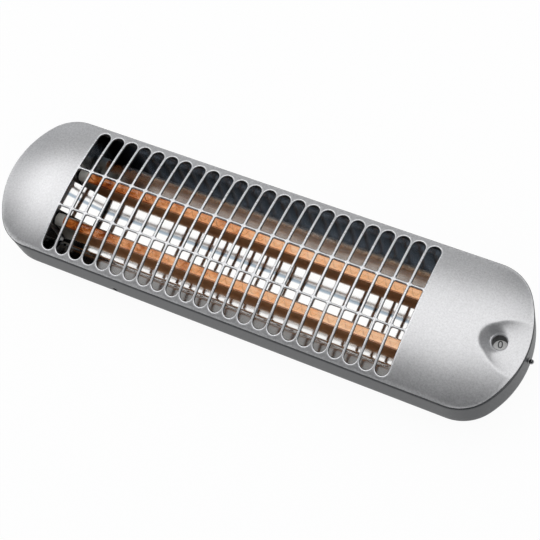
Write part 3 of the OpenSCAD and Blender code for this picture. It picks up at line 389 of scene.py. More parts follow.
def add_slots(b):
    """The slots' rolled edges: a painted highlight on top, painted shade on their walls and a painted lamp
    glow below.
    """
    highlight_to, shade_to = 0.5, 2.0
    profile = []
    for a in (90, 79, 67, 55, 43, 31, 20, 10, 0):
        s, c = sin_cos(a)
        profile.append((ROLL * (1 - c), ROLL * (1 - s)))
    profile += [(0, shade_to), (0.2, 2.42), (0.6, GRILLE_T), (ROLL, GRILLE_T)]

    # painted highlight on the roll's top, painted shade on its wall, painted brown lamp glow underneath
    def finish(i, j):
        depth = profile[i + 1][1]
        return PAINTED_HIGHLIGHT if depth <= highlight_to else PAINTED_SHADE if depth <= shade_to else PAINTED_GLOW

    for cx in SLOT_X:
        b.rings([at_heights(stadium(cx, offset), depth) for offset, depth in profile], finish=finish)


def rod_section(half):
    """A cross rod's section, as (place across, height over the outer face): a round top and a flat foot."""
    top = [(half * sin_cos(a)[1], ROD_MID + ROD_RISE * sin_cos(a)[0]) for a in np.linspace(0, 180, 13)]
    inner = half - ROD_BREAK
    foot_z, side_z = -GRILLE_T + ROD_SHORT, -GRILLE_T + ROD_BREAK
    return top + [(-half, side_z), (-inner, foot_z), (inner, foot_z), (half, side_z)]


def add_rods(b):
    """The rods between the bars, which widen where they run into the bars, with painted shade on their
    flanks and a painted highlight elsewhere.
    """
    straight, flanks = SLOT_R - ROD_FILLET, (0, 1, 2, 9, 10, 11)
    xs = np.unique(np.concatenate([np.linspace(-ROD_END, -straight, 9), np.linspace(-straight, straight, 5),
                                   np.linspace(straight, ROD_END, 9)]))
    for cx in SLOT_X:
        for s in (-1, 1):
            rings = []
            for x in xs:
                t = min(max(abs(x) - straight, 0), ROD_FILLET)
                grow = ROD_FILLET - math.sqrt(ROD_FILLET ** 2 - t ** 2)
                section = rod_section(ROD_W / 2 + min(grow, ROD_GROW))
                ring = [(cx + x, s * ROD_Y + y, z) for y, z in section]
                rings.append([(p[0], p[1], p[2] + float(h)) for p, h in zip(ring, heights(ring))])
            # painted shade on the flanks, a painted highlight on the rest
            b.rings(rings, capped=True, finish=lambda i, j: PAINTED_SHADE if j in flanks else PAINTED_HIGHLIGHT)


def add_lip(b):
    """The window's rounded lip, which ends in a level circle and has painted shade in its hole."""
    def ring(r):
        return circle((WIN_X, 0), r, LIP_N)

    lip_top = heights(ring(LIP_R))
    rings = []
    for a in np.linspace(90, 0, 10):
        s, c = sin_cos(a)
        plan = ring(HOLE_R + (LIP_R - HOLE_R) * (1 - c))
        z = lip_top + (HOLE_Z - LIP_END - lip_top) * (1 - s)
        rings.append([(x, y, float(h)) for (x, y), h in zip(plan, z)])
    rings.append(level(ring(HOLE_R), HOLE_Z - HOLE_DEPTH))
    rings.append(level(ring(HOLE_R + 0.5), HOLE_Z - WINDOW_T))
    rings.append(at_heights(ring(LIP_R), WINDOW_T))
    first_shaded = 7  # the band where the bend has become steep
    # painted shade in the hole, from where the bend is steep
    b.rings(rings, finish=lambda i, j: PAINTED_SHADE if i >= first_shaded else PAINT)


def scallops():
    """The sheet's edge round all the slots."""
    upper, lower = [], []
    for cx in SLOT_X:
        upper += arc(cx, ROUND_Y, SCALLOP_R, 180, 0, ROUND_N, cx == SLOT_X[0])
    for cx in reversed(SLOT_X):
        lower += arc(cx, -ROUND_Y, SCALLOP_R, 360, 180, ROUND_N, cx == SLOT_X[-1])
    right = [(GRILLE_X1, ROUND_Y - 2 * ROUND_Y * i / SIDE_N) for i in range(1, SIDE_N)]
    left = [(GRILLE_X0, -ROUND_Y + 2 * ROUND_Y * i / SIDE_N) for i in range(1, SIDE_N)]
    return upper + right + lower + left


def in_sheet(x, y, gap, edge):
    """True where a point is inside the sheet, gap away from its edge and less from window and slots."""
    side_in, end_in = 2, 1
    window_gap, slot_gap, grille_gap = gap * 0.5, gap * 0.45, gap * 0.8
    ax, ay = abs(x), abs(y)
    if ax > HALF_L - side_in or ay > HALF_W - side_in:
        return False
    if ax > CORNER_X and ay > CORNER_Y and math.hypot(ax - CORNER_X, ay - CORNER_Y) > CORNER_R - side_in:
        return False
    if ax > END_X and math.hypot(ax - END_X, y) > END_R - end_in:
        return False
    if np.min((edge[:, 0] - x) ** 2 + (edge[:, 1] - y) ** 2) < gap ** 2:
        return False
    if math.hypot(x - WIN_X, y) < LIP_R + window_gap:
        return False
    if GRILLE_X0 - grille_gap < x < GRILLE_X1 + grille_gap:
        return ay >= scallop_y(x) + slot_gap
    return True


def sheet_points(edge):
    """Points inside the sheet: a net that is finer round the fan, and a row between slots and edge."""
    edge = np.array(edge)
    coarse, coarse_gap = 3.0, 2.2
    columns, rows = int(HALF_L / coarse), int(HALF_W / coarse)
    net = grid(0, coarse, range(-columns, columns + 1), range(-rows, rows + 1), coarse / 2)
    fine_x, fine, fine_gap, fine_rows = 214, 1.05, 1.1, 66
    columns = int((HALF_L - fine_x) / fine)
    fine_net = grid(fine_x + 0.5, fine, range(columns), range(-fine_rows, fine_rows + 1), 0.5)
    points = [p for p in net if p[0] < fine_x and in_sheet(*p, coarse_gap, edge)]
    points += [p for p in fine_net if in_sheet(*p, fine_gap, edge)]
    row_step, row_edge = 1.6, HALF_W - 1.1
    for i in range(math.ceil(GRILLE_X0 / row_step), math.ceil(GRILLE_X1 / row_step)):
        x = i * row_step
        y = (float(scallop_y(x)) + row_edge) / 2
        points += [(x, -y), (x, y)]
    return points


def add_sheet(b, edge, inner_z):
    """The sheet between outline, slots and window, with its inner face below it in painted shade."""
    scallop = scallops()
    plan, tris = triangles([edge, scallop, circle((WIN_X, 0), LIP_R, LIP_N)], sheet_points(edge))
    slot_slack, window_slack, lip_reach = 0.004, 0.01, 0.1
    mid = plan[tris].mean(axis=1)
    in_grille = ((mid[:, 0] > GRILLE_X0) & (mid[:, 0] < GRILLE_X1)
                 & (np.abs(mid[:, 1]) < scallop_y(mid[:, 0]) - slot_slack))
    in_window = np.hypot(mid[:, 0] - WIN_X, mid[:, 1]) < LIP_R - window_slack
    tris = tris[~(in_grille | in_window)]
    z = surface(plan[:, 0], plan[:, 1])
    b.add([(x, y, h) for (x, y), h in zip(plan, z)], [tuple(t) for t in tris])

    def key(p):
        return round(p[0], 3), round(p[1], 3)

    at_rim = {key(p): (*q, float(h)) for p, q, h in zip(edge, outline(COVER_T), inner_z)}
    at_slots = {key(p) for p in scallop}
    below = []
    for (x, y), h in zip(plan, z):
        if key((x, y)) in at_rim:
            below.append(at_rim[key((x, y))])
        elif key((x, y)) in at_slots:
            below.append((x, y, h - GRILLE_T))
        elif math.hypot(x - WIN_X, y) < LIP_R + lip_reach:
            below.append((x, y, h - WINDOW_T))
        else:
            below.append((x, y, h - COVER_T))
    # the inner face is in painted shade, so the mirror shows it dark
    b.add(below, [tuple(t[::-1]) for t in tris], PAINTED_SHADE)


def make_cover():
    """The cover's mesh: rim, slots, rods, lip and the sheet between them."""
    b = Build()
    edge = outline(EDGE_IN)
    edge_z = heights(edge)
    inner_z = np.maximum(edge_z - COVER_T, RIM_Z + EDGE_FLOOR)
    inner_z = np.maximum(np.minimum(edge_z - EDGE_T, inner_z), RIM_Z + EDGE_BREAK)
    add_rim(b, edge, inner_z)
    add_slots(b)
    add_rods(b)
    add_lip(b)
    add_sheet(b, edge, inner_z)
    return b


# Material helpers
def principled(name):
    """A new material with its node tree and its shader."""
    m = bpy.data.materials.new(name)
    m.use_nodes = True
    return m, m.node_tree, m.node_tree.nodes["Principled BSDF"]


def node(nt, kind, **values):
    """A new node; each value goes to the input of that name, or else to the node's own setting."""
    n = nt.nodes.new(kind)
    for k, v in values.items():
        if k in n.inputs:
            n.inputs[k].default_value = v
        else:
            setattr(n, k, v)
    return n


def feed(nt, value, socket):
    """Links a socket's value, or sets a number or colour on the socket itself."""
    if isinstance(value, bpy.types.NodeSocket):
        nt.links.new(value, socket)
    else:
        socket.default_value = (*value, 1) if socket.type == "RGBA" else value


def maths(nt, operation, *values, **settings):
    """The result of a math node on numbers or sockets."""
    n = node(nt, "ShaderNodeMath", operation=operation, **settings)
    for value, socket in zip(values, n.inputs):
        feed(nt, value, socket)
    return n.outputs[0]


def map_range(nt, value, low, high, to_low=0.0, to_high=1.0, **settings):
    """Spreads a socket's value from low..high over to_low..to_high."""
    n = node(nt, "ShaderNodeMapRange", **settings)
    for name, number in (("From Min", low), ("From Max", high), ("To Min", to_low), ("To Max", to_high)):
        n.inputs[name].default_value = number
    nt.links.new(value, n.inputs["Value"])
    return n.outputs["Result"]


def mix_colour(nt, share, a, b):
    """Goes from a to b as share goes from 0 to 1; each is a colour or a socket."""
    n = node(nt, "ShaderNodeMix", data_type="RGBA")
    for socket in n.inputs:
        if socket.type == "RGBA":
            feed(nt, a if socket.name == "A" else b, socket)
    nt.links.new(share, n.inputs["Factor"])
    return [s for s in n.outputs if s.type == "RGBA"][0]


def mix_shaders(nt, share, first, second, output):
    """Gives the output the first shader, and the second one as share goes from 0 to 1."""
    n = node(nt, "ShaderNodeMixShader")
    nt.links.new(share, n.inputs["Fac"])
    nt.links.new(first.outputs[0], n.inputs[1])
    nt.links.new(second.outputs[0], n.inputs[2])
    nt.links.new(n.outputs[0], output.inputs["Surface"])


def place(nt, stretch=(1, 1, 1)):
    """Object coordinates in metres, stretched along each axis."""
    n = node(nt, "ShaderNodeMapping", Scale=stretch)
    nt.links.new(node(nt, "ShaderNodeTexCoord").outputs["Object"], n.inputs["Vector"])
    return n.outputs["Vector"]


def along(nt, axis, source="Object"):
    """One coordinate of the object's place, in metres, or of another source."""
    n = node(nt, "ShaderNodeSeparateXYZ")
    nt.links.new(node(nt, "ShaderNodeTexCoord").outputs[source], n.inputs[0])
    return n.outputs[axis]


def noise(nt, where, scale, detail, roughness):
    """Noise at a place, from 0 to 1."""
    n = node(nt, "ShaderNodeTexNoise", Scale=scale, Detail=detail, Roughness=roughness)
    nt.links.new(where, n.inputs["Vector"])
    return n.outputs["Fac"]


def finish_material(name, colour, rough=0.5, metal=0.0, spread=0.06, scale=180.0, grain=2500.0, bump=0.02,
                    rough_spread=0.05, stretch=(1, 1, 1), bump_size=0.0002, **sockets):
    """A surface with slow and fine variation of its colour, uneven gloss and a fine grain."""
    m, nt, bsdf = principled(name)
    where = place(nt, stretch)
    slow = noise(nt, where, scale, 4.0, 0.6)
    fine = noise(nt, where, grain, 3.0, 0.7)
    dark = [c * (1 - spread) for c in colour]
    light = [min(c * (1 + spread), 1) for c in colour]
    share = map_range(nt, maths(nt, "ADD", slow, fine), 0.6, 1.4)
    feed(nt, mix_colour(nt, share, dark, light), bsdf.inputs["Base Color"])
    smoothest, roughest = max(rough - rough_spread, 0.02), min(rough + rough_spread, 1)
    feed(nt, map_range(nt, slow, 0.3, 0.7, smoothest, roughest), bsdf.inputs["Roughness"])
    if bump:
        b = node(nt, "ShaderNodeBump", Strength=bump, Distance=bump_size)
        nt.links.new(fine, b.inputs["Height"])
        nt.links.new(b.outputs["Normal"], bsdf.inputs["Normal"])
    bsdf.inputs["Metallic"].default_value = metal
    for k, v in sockets.items():
        bsdf.inputs[k.replace("_", " ")].default_value = v
    return m


# Materials
cover_mat = finish_material("silver_paint", (0.74, 0.74, 0.75), rough=0.32, metal=0.85, spread=0.20,
                            scale=500, grain=800, bump=0.20, rough_spread=0.03, bump_size=0.00012)
# Painted shade: near-black under the cover's roll, on the walls of the slots and rods, in the window's hole
# and on the cover's inner face
painted_shade_mat = finish_material("painted_shade_dark", (0.025, 0.027, 0.03), spread=0.2, scale=60, grain=1900,
                           bump=0.1, bump_size=0.00012)
# Painted highlight: a near-white copy of the paint on the tops of the slots' rolled edges and of the rods
painted_highlight_mat = finish_material("painted_highlight_edge", (0.95, 0.95, 0.96), rough=0.28, metal=0.6, spread=0.03, scale=60,
                          grain=1900, bump=0.0, rough_spread=0.03)
# Painted lamp glow: brown on the undersides of the bars, standing for the orange light of the lamps
painted_glow_mat = finish_material("painted_lamp_glow", (0.34, 0.19, 0.10), metal=0.3, spread=0.2, scale=60,
                             grain=1900, bump=0.1, bump_size=0.00012)
tray_mat = finish_material("graphite_paint", (0.060, 0.062, 0.065), rough=0.36, metal=0.1, spread=0.25,
                           scale=500, grain=800, bump=0.12, bump_size=0.00012, Specular_IOR_Level=0.1)
steel_mat = finish_material("zinc_steel", (0.55, 0.56, 0.57), rough=0.34, metal=1.0, spread=0.1,
                            scale=120, grain=900, bump=0.1)
clip_mat = finish_material("black_spring_steel", (0.02, 0.02, 0.022), rough=0.35, metal=0.6, spread=0.3,
                           scale=200, grain=1200, bump=0.1)
brass_mat = finish_material("brass", (0.72, 0.53, 0.22), rough=0.28, metal=1.0, spread=0.08, scale=150,
                            grain=900, bump=0.08)
ceramic_mat = finish_material("cap_ceramic", (0.80, 0.78, 0.72), spread=0.05, scale=160, grain=1400,
                              bump=0.15)
gasket_mat = finish_material("black_rubber", (0.012, 0.012, 0.012), rough=0.7, spread=0.3, scale=300,
                             grain=1500, bump=0.25)
black_mat = finish_material("black_plastic", (0.02, 0.02, 0.021), rough=0.42, spread=0.2, scale=250,
                            grain=1800, bump=0.2)
bakelite_mat = finish_material("brown_black_plastic", (0.035, 0.026, 0.022), rough=0.36, spread=0.2,
                               scale=250, grain=1500, bump=0.15)
cream_mat = finish_material("cream_plastic", (0.72, 0.70, 0.63), rough=0.42, spread=0.04, scale=200,
                            grain=1500, bump=0.15)
# the disc's faint glow is painted light: it is no lamp, and too little light reaches it down its window
glowing_disc_mat = finish_material("pale_disc_painted_glow", (0.72, 0.72, 0.71), rough=0.55, spread=0.03, scale=200,
                           grain=1700, bump=0.2, Emission_Color=(0.72, 0.72, 0.71, 1),
                           Emission_Strength=0.35)
white_lead_mat = finish_material("white_sleeving", (0.78, 0.77, 0.73), rough=0.62, spread=0.08, scale=700,
                                 grain=3000, bump=0.35)
brown_lead_mat = finish_material("brown_sleeving", (0.12, 0.05, 0.025), rough=0.55, spread=0.12,
                                 scale=700, grain=3000, bump=0.35)
green_lead_mat = finish_material("green_sleeving", (0.08, 0.26, 0.05), rough=0.55, spread=0.25, scale=500,
                                 grain=3000, bump=0.35)
bead_mat = finish_material("gloss_black", (0.20, 0.20, 0.21), rough=0.09, metal=1.0, spread=0.2,
                           scale=300, grain=1500, rough_spread=0.03, Coat_Weight=1.0)
ink_mat = finish_material("printed_ink", (0.14, 0.14, 0.145), spread=0.2, scale=900, grain=3000, bump=0.1)
coat_mat = finish_material("lamp_coating", (0.66, 0.30, 0.12), rough=0.45, metal=0.1, spread=0.15,
                           scale=60, grain=1500, bump=0.05)


def mirror_material():
    """Rolled bright sheet: a painted reflection line along its bead, and an upper side hazy below and in
    painted shade above.
    """
    m = finish_material("bright_mirror", (0.83, 0.825, 0.815), rough=0.07, metal=1.0, spread=0.02, scale=20,
                        grain=220, bump=0.0, rough_spread=0.015, stretch=(0.25, 1, 1), Anisotropic=0.85)
    nt = m.node_tree
    bsdf = nt.nodes["Principled BSDF"]
    bright = bsdf.inputs["Base Color"].links[0].from_socket
    plain_rough = bsdf.inputs["Roughness"].links[0].from_socket
    y = along(nt, "Y")
    line_y, line_half, line_fade = 0.0026, 0.0006, 0.0028
    haze_from, haze_full, haze_rough = 0.034, 0.040, 0.13
    dark_side_from, dark_side_full = 0.046, 0.051
    # painted reflection: a blue-grey line along the bead for the image of the cross rods
    from_line = maths(nt, "ABSOLUTE", maths(nt, "SUBTRACT", y, line_y))
    line = map_range(nt, from_line, line_half, line_fade, 1.0, 0.0, interpolation_type="SMOOTHSTEP")
    # painted shade: the top of the upper side turns dark blue-grey for a dark reflection
    painted_dark_side = map_range(nt, y, dark_side_from, dark_side_full)
    painted_reflection = mix_colour(nt, line, bright, (0.34, 0.40, 0.46))
    feed(nt, mix_colour(nt, painted_dark_side, painted_reflection, (0.30, 0.36, 0.43)), bsdf.inputs["Base Color"])
    haze = map_range(nt, y, haze_from, haze_full, 0.0, haze_rough)
    rough = maths(nt, "MULTIPLY_ADD", haze, maths(nt, "SUBTRACT", 1.0, painted_dark_side), plain_rough)
    feed(nt, rough, bsdf.inputs["Roughness"])
    rolled = node(nt, "ShaderNodeTangent", direction_type="RADIAL", axis="X")
    nt.links.new(rolled.outputs["Tangent"], bsdf.inputs["Tangent"])
    return m


def quartz_material():
    """Clear glass with faint amber streaks along the tube."""
    m, nt, bsdf = principled("amber_quartz")
    streaks = map_range(nt, noise(nt, place(nt, (0.35, 1, 1)), 25.0, 2.0, 0.5), 0.35, 0.65)
    feed(nt, mix_colour(nt, streaks, (0.86, 0.68, 0.52), (0.94, 0.82, 0.72)), bsdf.inputs["Base Color"])
    bsdf.inputs["Roughness"].default_value = 0.02
    bsdf.inputs["Transmission Weight"].default_value = 1.0
    bsdf.inputs["IOR"].default_value = 1.46
    return m


def glowing_material(name, tone):
    """Red-hot amber that is deeper and cloudier at the lamps' left end and paler to the right."""
    m, nt, bsdf = principled(name)
    left, right, paler = -0.22, 0.08, 0.5
    rise = map_range(nt, along(nt, "X"), left, right, 0.0, paler, clamp=False)
    cloud = noise(nt, place(nt), 75.0, 3.0, 0.6)
    steps = ((0.42, (0.10, 0.02, 0.003)), (0.56, (0.36, 0.13, 0.03)), (0.80, (0.70, 0.46, 0.28)),
             (1.0, (0.72, 0.56, 0.42)))
    ramp = node(nt, "ShaderNodeValToRGB")
    while len(ramp.color_ramp.elements) < len(steps):
        ramp.color_ramp.elements.new(0.5)
    for element, (at, colour) in zip(ramp.color_ramp.elements, steps):
        element.position = at
        element.color = (*[c * tone for c in colour], 1)
    nt.links.new(maths(nt, "ADD", rise, cloud), ramp.inputs["Fac"])
    nt.links.new(ramp.outputs["Color"], bsdf.inputs["Base Color"])
    nt.links.new(ramp.outputs["Color"], bsdf.inputs["Emission Color"])
    bsdf.inputs["Emission Strength"].default_value = 0.75
    return m


mirror_mat = mirror_material()
quartz_mat = quartz_material()
lining_mat = glowing_material("lamp_lining", 1.0)
coil_mat = glowing_material("resistance_wire", 0.85)

# CAD nodes that stay, by material
CARRIED = (
    (steel_mat, ("cover_screws", "mount_rail_left", "mount_rail_right", "lamp_bracket_left",
                 "lamp_bracket_right", "bracket_screws", "contact_pins", "switch_screws", "detent_spring",
                 "spindle", "ratchet_wheel", "pivot_pin", "pull_lever", "pull_rod", "return_spring")),
    (brass_mat, ("terminal_screws", "earth_stud", "earth_nut", "switch_contacts")),
    (ceramic_mat, ("end_cap_upper_left", "end_cap_upper_right", "end_cap_lower_left",
                   "end_cap_lower_right")),
    (white_lead_mat, ("lead_left_upper", "lead_left_lower", "lead_right_upper", "lead_right_lower")),
    (brown_lead_mat, ("lead_cutout", "lead_switch")),
    (green_lead_mat, ("earth_lead",)),
    (mirror_mat, ("reflector_end_left", "reflector_end_right")),
    (coil_mat, ("filament_upper", "filament_lower")),
    (bakelite_mat, ("thermal_cutout", "switch_case", "switch_lid")),
    (cream_mat, ("terminal_block", "switch_cam")),
    (gasket_mat, ("edge_gasket", "cable_grommet")),
    (black_mat, ("window_sleeve", "pull_bush")),
    (clip_mat, ("cap_clips",)),
    (glowing_disc_mat, ("indicator_disc",)),
)
for material, names in CARRIED:
    for name in names:
        slots = nodes[name].data.materials
        if not slots:
            slots.append(material)
        for i in range(len(slots)):
            slots[i] = material

# Cover
cover = make_cover().object("cover_sheet", cover_mat, painted_highlight_mat, painted_glow_mat, painted_shade_mat, weld=0.004, smooth=50)
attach(cover, "casing")
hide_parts("front_cover")


# Tray
def add_wall(b):
    """The tray's wall as one skin: up its outside, over the flange and down its inside."""
    rings = [level(outline(FLOOR_IN), 0.0)]
    for a in np.linspace(0, 90, 13):
        s, c = sin_cos(a)
        rings.append(level(outline(TRAY_BEND * (1 - s)), TRAY_BEND * (1 - c)))
    rings += [level(outline(0), z) for z in WALL_Z]
    for a in np.linspace(0, 90, 6):
        s, c = sin_cos(a)
        rings.append(level(outline(TRAY_ROLL * (1 - c)), TRAY_H - TRAY_ROLL * (1 - s)))
    rings.append(level(outline(FLANGE_IN), TRAY_H))
    rings.append(level(outline(FLANGE_IN + FLANGE_EDGE), TRAY_H - TRAY_T / 2))
    rings.append(level(outline(FLANGE_IN), TRAY_H - TRAY_T))
    rings.append(level(outline(TRAY_T + FLANGE_BEND), TRAY_H - TRAY_T))
    rings.append(level(outline(TRAY_T), TRAY_H - TRAY_T - FLANGE_BEND))
    bend = TRAY_BEND - TRAY_T
    for a in np.linspace(90, 0, 13):
        s, c = sin_cos(a)
        rings.append(level(outline(TRAY_T + bend * (1 - s)), TRAY_T + bend * (1 - c)))
    rings.append(level(outline(FLOOR_IN), TRAY_T))
    b.rings(rings)


def add_floor(b, z, cuts):
    """One face of the tray's floor, with a round hole for each (centre, radius) in cuts."""
    loops = [outline(FLOOR_IN)] + [circle(c, r, HOLE_N) for c, r in cuts]
    keep_clear = HOLES + [(c, DIMPLE_IN) for c in DIMPLES]
    step, core_x, core_y, reach, gap = 11.5, 222, 14, 36, 4
    net = [(x, y) for x, y in grid(0, step, range(-22, 23), range(-4, 5), 0)
           if math.hypot(max(abs(x) - core_x, 0), max(abs(y) - core_y, 0)) < reach
           and all(math.hypot(x - c[0], y - c[1]) > r + gap for c, r in keep_clear)]
    plan, tris = triangles(loops, net)
    mid = plan[tris].mean(axis=1)
    solid = np.ones(len(tris), bool)
    inside = 0.985
    for c, r in cuts:
        solid &= np.hypot(mid[:, 0] - c[0], mid[:, 1] - c[1]) > r * inside
    b.add(level(plan, z), [tuple(t) for t in tris[solid]])


def make_tray():
    """The tray's mesh: its wall, both faces of its floor, the holes' walls and the screws' dimples."""
    b = Build()
    add_wall(b)
    add_floor(b, 0, [(c, r + HOLE_BREAK) for c, r in HOLES] + [(c, DIMPLE_OUT) for c in DIMPLES])
    add_floor(b, TRAY_T, HOLES + [(c, DIMPLE_IN) for c in DIMPLES])
    for c, r in HOLES:
        wall = ((r + HOLE_BREAK, 0), (r, HOLE_BREAK), (r, TRAY_T))
        b.rings([level(circle(c, at, HOLE_N), z) for at, z in wall])
    for c in DIMPLES:
        b.rings([level(circle(c, r, HOLE_N), z) for r, z in DIMPLE])
    return b


def cut_wall(tray):
    """Cuts the round holes in the tray's walls, and leaves the result in its mesh."""
    cutters = []
    for name, centre, angles, r, length in WALL_HOLES:
        b = Build()
        b.rings([level(circle((0, 0), r, HOLE_N), z) for z in (-length / 2, length / 2)], capped=True)
        cutter = b.object(name, tray_mat)
        cutter.rotation_euler = angles
        cutter.location = [v * MM for v in centre]
        cut = tray.modifiers.new(name, "BOOLEAN")
        cut.operation = "DIFFERENCE"
        cut.solver = "EXACT"
        cut.object = cutter
        cutters.append(cutter)
    bpy.context.view_layer.update()
    made = bpy.data.meshes.new_from_object(tray.evaluated_get(bpy.context.evaluated_depsgraph_get()))
    tray.modifiers.clear()
    tray.data = made
    for cutter in cutters:
        bpy.data.objects.remove(cutter)


tray = make_tray().object("tray_shell", tray_mat, weld=0.002, smooth=40)
cut_wall(tray)
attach(tray, "casing")
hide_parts("back_tray")


# Mirror
def mirror_side(flat):
    """One side in section, from its bend at the flat's edge to its top."""
    lean = math.atan2(SIDE_TOP_Z - REFL_Z, SIDE_TOP_Y - flat)
    start = flat - SIDE_BEND * math.tan(lean / 2)
    bend = [lean * i / 8 for i in range(9)]
    return ([(start + SIDE_BEND * math.sin(a), REFL_Z + SIDE_BEND * (1 - math.cos(a))) for a in bend]
            + [(SIDE_TOP_Y, SIDE_TOP_Z)])


def mirror_section():
    """The mirror's upper face from one top edge to the other, as points of (Y, Z)."""
    bead = [(BEAD_HALF * i / BEAD_N, REFL_Z + BEAD_H * (0.5 + 0.5 * math.cos(math.pi * i / BEAD_N)))
            for i in range(BEAD_N + 1)]
    lower = bead[1:] + mirror_side(FLAT_LOWER)
    return [(-y, z) for y, z in reversed(lower)] + bead + mirror_side(FLAT_UPPER)


def make_mirror():
    """The mirror's sheet, with a tongue bent up between the lamps' left caps."""
    b = Build()
    face = mirror_section()
    back = []
    for i, (y, z) in enumerate(face):
        before, after = face[max(i - 1, 0)], face[min(i + 1, len(face) - 1)]
        dy, dz = after[0] - before[0], after[1] - before[1]
        length = math.hypot(dy, dz)
        back.append((y + dz / length * REFL_T, z - dy / length * REFL_T))
    ring = face + back[::-1]
    b.rings([[(x, y, z) for y, z in ring] for x in np.linspace(REFL_X0, REFL_X1, 41)], capped=True)
    tongue = []
    for k in range(TONGUE_N + 1):
        x = TONGUE_X - TONGUE_L * k / TONGUE_N
        z = TONGUE_Z + TONGUE_RISE * (k / TONGUE_N) ** TONGUE_CURVE
        back_x, back_z = x - TONGUE_BACK, z - TONGUE_T
        tongue.append([(x, -TONGUE_HALF, z), (x, TONGUE_HALF, z),
                       (back_x, TONGUE_HALF, back_z), (back_x, -TONGUE_HALF, back_z)])
    b.rings(tongue, capped=True)
    return b


mirror = make_mirror().object("mirror_sheet", mirror_mat, smooth=35)
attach(mirror, "casing")
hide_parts("reflector")


# Lamps
def make_tube(side, label):
    """One quartz tube: clear glass in front; behind, a coating outside and a pale lining inside."""
    glass, coating, lining = 0, 1, 2
    x0, x1 = TUBE_X0 + TUBE_SHORT, TUBE_X1 - TUBE_SHORT
    xs = list(np.linspace(x0 + TUBE_CLEAR, x1 - TUBE_CLEAR, 21))
    mouth = TUBE_R - TUBE_BEVEL
    profile = [(TUBE_BORE, x0), (mouth, x0), (TUBE_R, x0 + TUBE_BREAK)] + [(TUBE_R, x) for x in xs]
    profile += [(TUBE_R, x1 - TUBE_BREAK), (mouth, x1), (TUBE_BORE, x1)]
    profile += [(TUBE_BORE, x) for x in xs[::-1]] + [(TUBE_BORE, x0)]

    def layer(i, j):
        if math.sin(2 * math.pi * (j + 0.5) / TUBE_N) > COAT_BELOW:
            return glass
        bore = profile[i][0] < mouth and profile[i + 1][0] < mouth
        return lining if bore else coating

    b = Build()
    b.rings(along_x(profile, (0, side * LAMP_Y, LAMP_Z), TUBE_N), finish=layer)
    tube = b.object("quartz_" + label, quartz_mat, coat_mat, lining_mat, weld=0.001, smooth=60)
    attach(tube, "casing")
    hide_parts("quartz_tube_" + label)


make_tube(1, "upper")
make_tube(-1, "lower")


# Numbers on the disc, and the pull's bead
def make_digit(k):
    """A plain digit on the disc, which counts the switch's steps over and over."""
    curve = bpy.data.curves.new("digit_%d" % k, "FONT")
    curve.body = str(k % SWITCH_STEPS)
    curve.align_x = "CENTER"
    curve.align_y = "CENTER"
    curve.size = DIGIT_H * MM
    curve.extrude = DIGIT_T * MM
    curve.materials.append(ink_mat)
    digit = bpy.data.objects.new("digit_%d" % k, curve)
    scene.collection.objects.link(digit)
    a = math.radians(360 / DIGIT_N * k + FIRST_DIGIT_A)
    at = (SPINDLE_X + DIGIT_R * math.cos(a), DIGIT_R * math.sin(a), DISC_TOP + DIGIT_LIFT)
    digit.location = [v * MM for v in at]
    digit.rotation_euler = (0, 0, a)
    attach(digit, "wheel")


def make_bead():
    """The pull's glossy bead: a ball with a short neck towards the casing."""
    tip, neck_r, neck_from, neck_to = 0.02, 1.5, -2.25, -2.4
    profile = [(tip, PULL_BEAD_R)]
    for a in range(8, 150, 6):
        s, c = sin_cos(a)
        profile.append((PULL_BEAD_R * s, PULL_BEAD_R * c))
    profile += [(neck_r, neck_from), (neck_r, neck_to), (tip, neck_to)]
    b = Build()
    b.rings(along_x(profile, PULL_BEAD, 48), capped=True)
    bead = b.object("bead_ball", bead_mat, weld=0.001, smooth=50)
    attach(bead, "pull")
    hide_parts("pull_bead")


for k in range(DIGIT_N):
    make_digit(k)
make_bead()


# Floor, world and lamps
def make_floor():
    """A pale floor with the object's shadow, white to the camera, in reflections and through glass."""
    half, z, camera_share = 4, -0.0004, 0.95
    mesh = bpy.data.meshes.new("floor")
    corners = [(-half, -half, z), (half, -half, z), (half, half, z), (-half, half, z)]
    mesh.from_pydata(corners, [], [(0, 1, 2, 3)])
    floor = bpy.data.objects.new("floor", mesh)
    scene.collection.objects.link(floor)
    m, nt, bsdf = principled("floor")
    bsdf.inputs["Base Color"].default_value = (0.86, 0.86, 0.86, 1)
    bsdf.inputs["Roughness"].default_value = 0.9
    bsdf.inputs["Specular IOR Level"].default_value = 0.1
    white = node(nt, "ShaderNodeEmission", Color=(1, 1, 1, 1), Strength=1.0)
    rays = node(nt, "ShaderNodeLightPath").outputs
    seen = maths(nt, "MULTIPLY_ADD", rays["Is Camera Ray"], camera_share, rays["Is Glossy Ray"])
    share = maths(nt, "ADD", seen, rays["Is Transmission Ray"], use_clamp=True)
    mix_shaders(nt, share, bsdf, white, nt.nodes["Material Output"])
    mesh.materials.append(m)


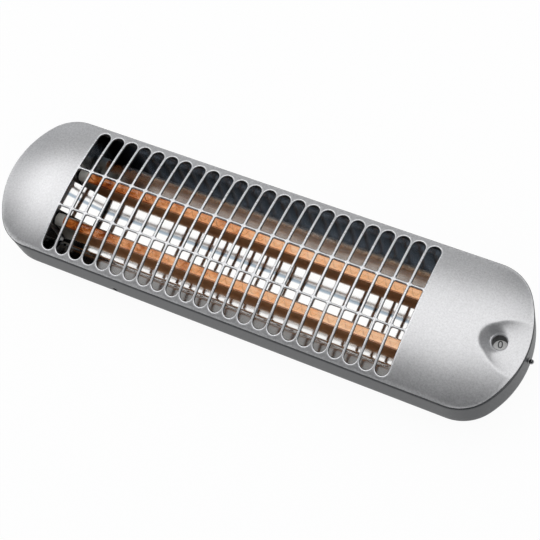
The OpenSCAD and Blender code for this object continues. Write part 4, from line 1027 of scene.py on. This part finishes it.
def make_world():
    """An even pale sky, but glossy rays see a white horizon, grey panels above it and a dark ceiling."""
    world = bpy.data.worlds.new("studio")
    scene.world = world
    world.use_nodes = True
    nt = world.node_tree
    sky = nt.nodes["Background"]
    sky.inputs["Color"].default_value = (0.95, 0.97, 1, 1)
    white = node(nt, "ShaderNodeBackground", Color=(1, 1, 1, 1), Strength=1.0)
    rays = node(nt, "ShaderNodeLightPath").outputs
    up = along(nt, "Z", "Generated")
    sky_level, panel_level = 0.62, 0.55
    horizon_top, panel_foot, panel_top = 0.03, (0.17, 0.25), (0.55, 0.38)
    panels = maths(nt, "MULTIPLY", map_range(nt, up, *panel_foot), map_range(nt, up, *panel_top))
    less = maths(nt, "MULTIPLY_ADD", panels, panel_level, -sky_level)
    feed(nt, maths(nt, "MULTIPLY_ADD", rays["Is Glossy Ray"], less, sky_level), sky.inputs["Strength"])
    horizon = map_range(nt, up, horizon_top, 0.0)
    bent = maths(nt, "ADD", rays["Is Glossy Ray"], rays["Is Transmission Ray"])
    seen = maths(nt, "MULTIPLY_ADD", bent, horizon, rays["Is Camera Ray"], use_clamp=True)
    mix_shaders(nt, seen, sky, white, nt.nodes["World Output"])


def area(name, at, aim, length, width, power, angle=0):
    """A lamp in metres and watts that faces aim, its length along X, turned in its plane by angle."""
    light = bpy.data.lights.new(name, "AREA")
    light.shape = "RECTANGLE"
    light.size = length
    light.size_y = width
    light.energy = power
    obj = bpy.data.objects.new(name, light)
    scene.collection.objects.link(obj)
    back = (Vector(at) - Vector(aim)).normalized()
    level_side = (Vector((1, 0, 0)) - back * back.x).normalized()
    s, c = sin_cos(angle)
    side = level_side * c + back.cross(level_side) * s
    up = back.cross(side)
    obj.matrix_world = Matrix([[side[i], up[i], back[i], at[i]] for i in range(3)] + [[0, 0, 0, 1]])


make_floor()
make_world()
area("key", (-0.4, 0.66, 1.95), (-0.4, 0.66, 0), 3.2, 1.55, 19, angle=10)
area("key_left", (-2.5, 0.55, 1.93), (-2.5, 0.55, 0), 1.8, 1.0, 5.5)
area("rim", (-1.0, 1.95, 1.5), (0, 0, 0), 2.3, 0.9, 2.0)
area("fill", (-0.9, -1.6, 1.0), (0, 0, 0), 1.8, 0.8, 1.2)
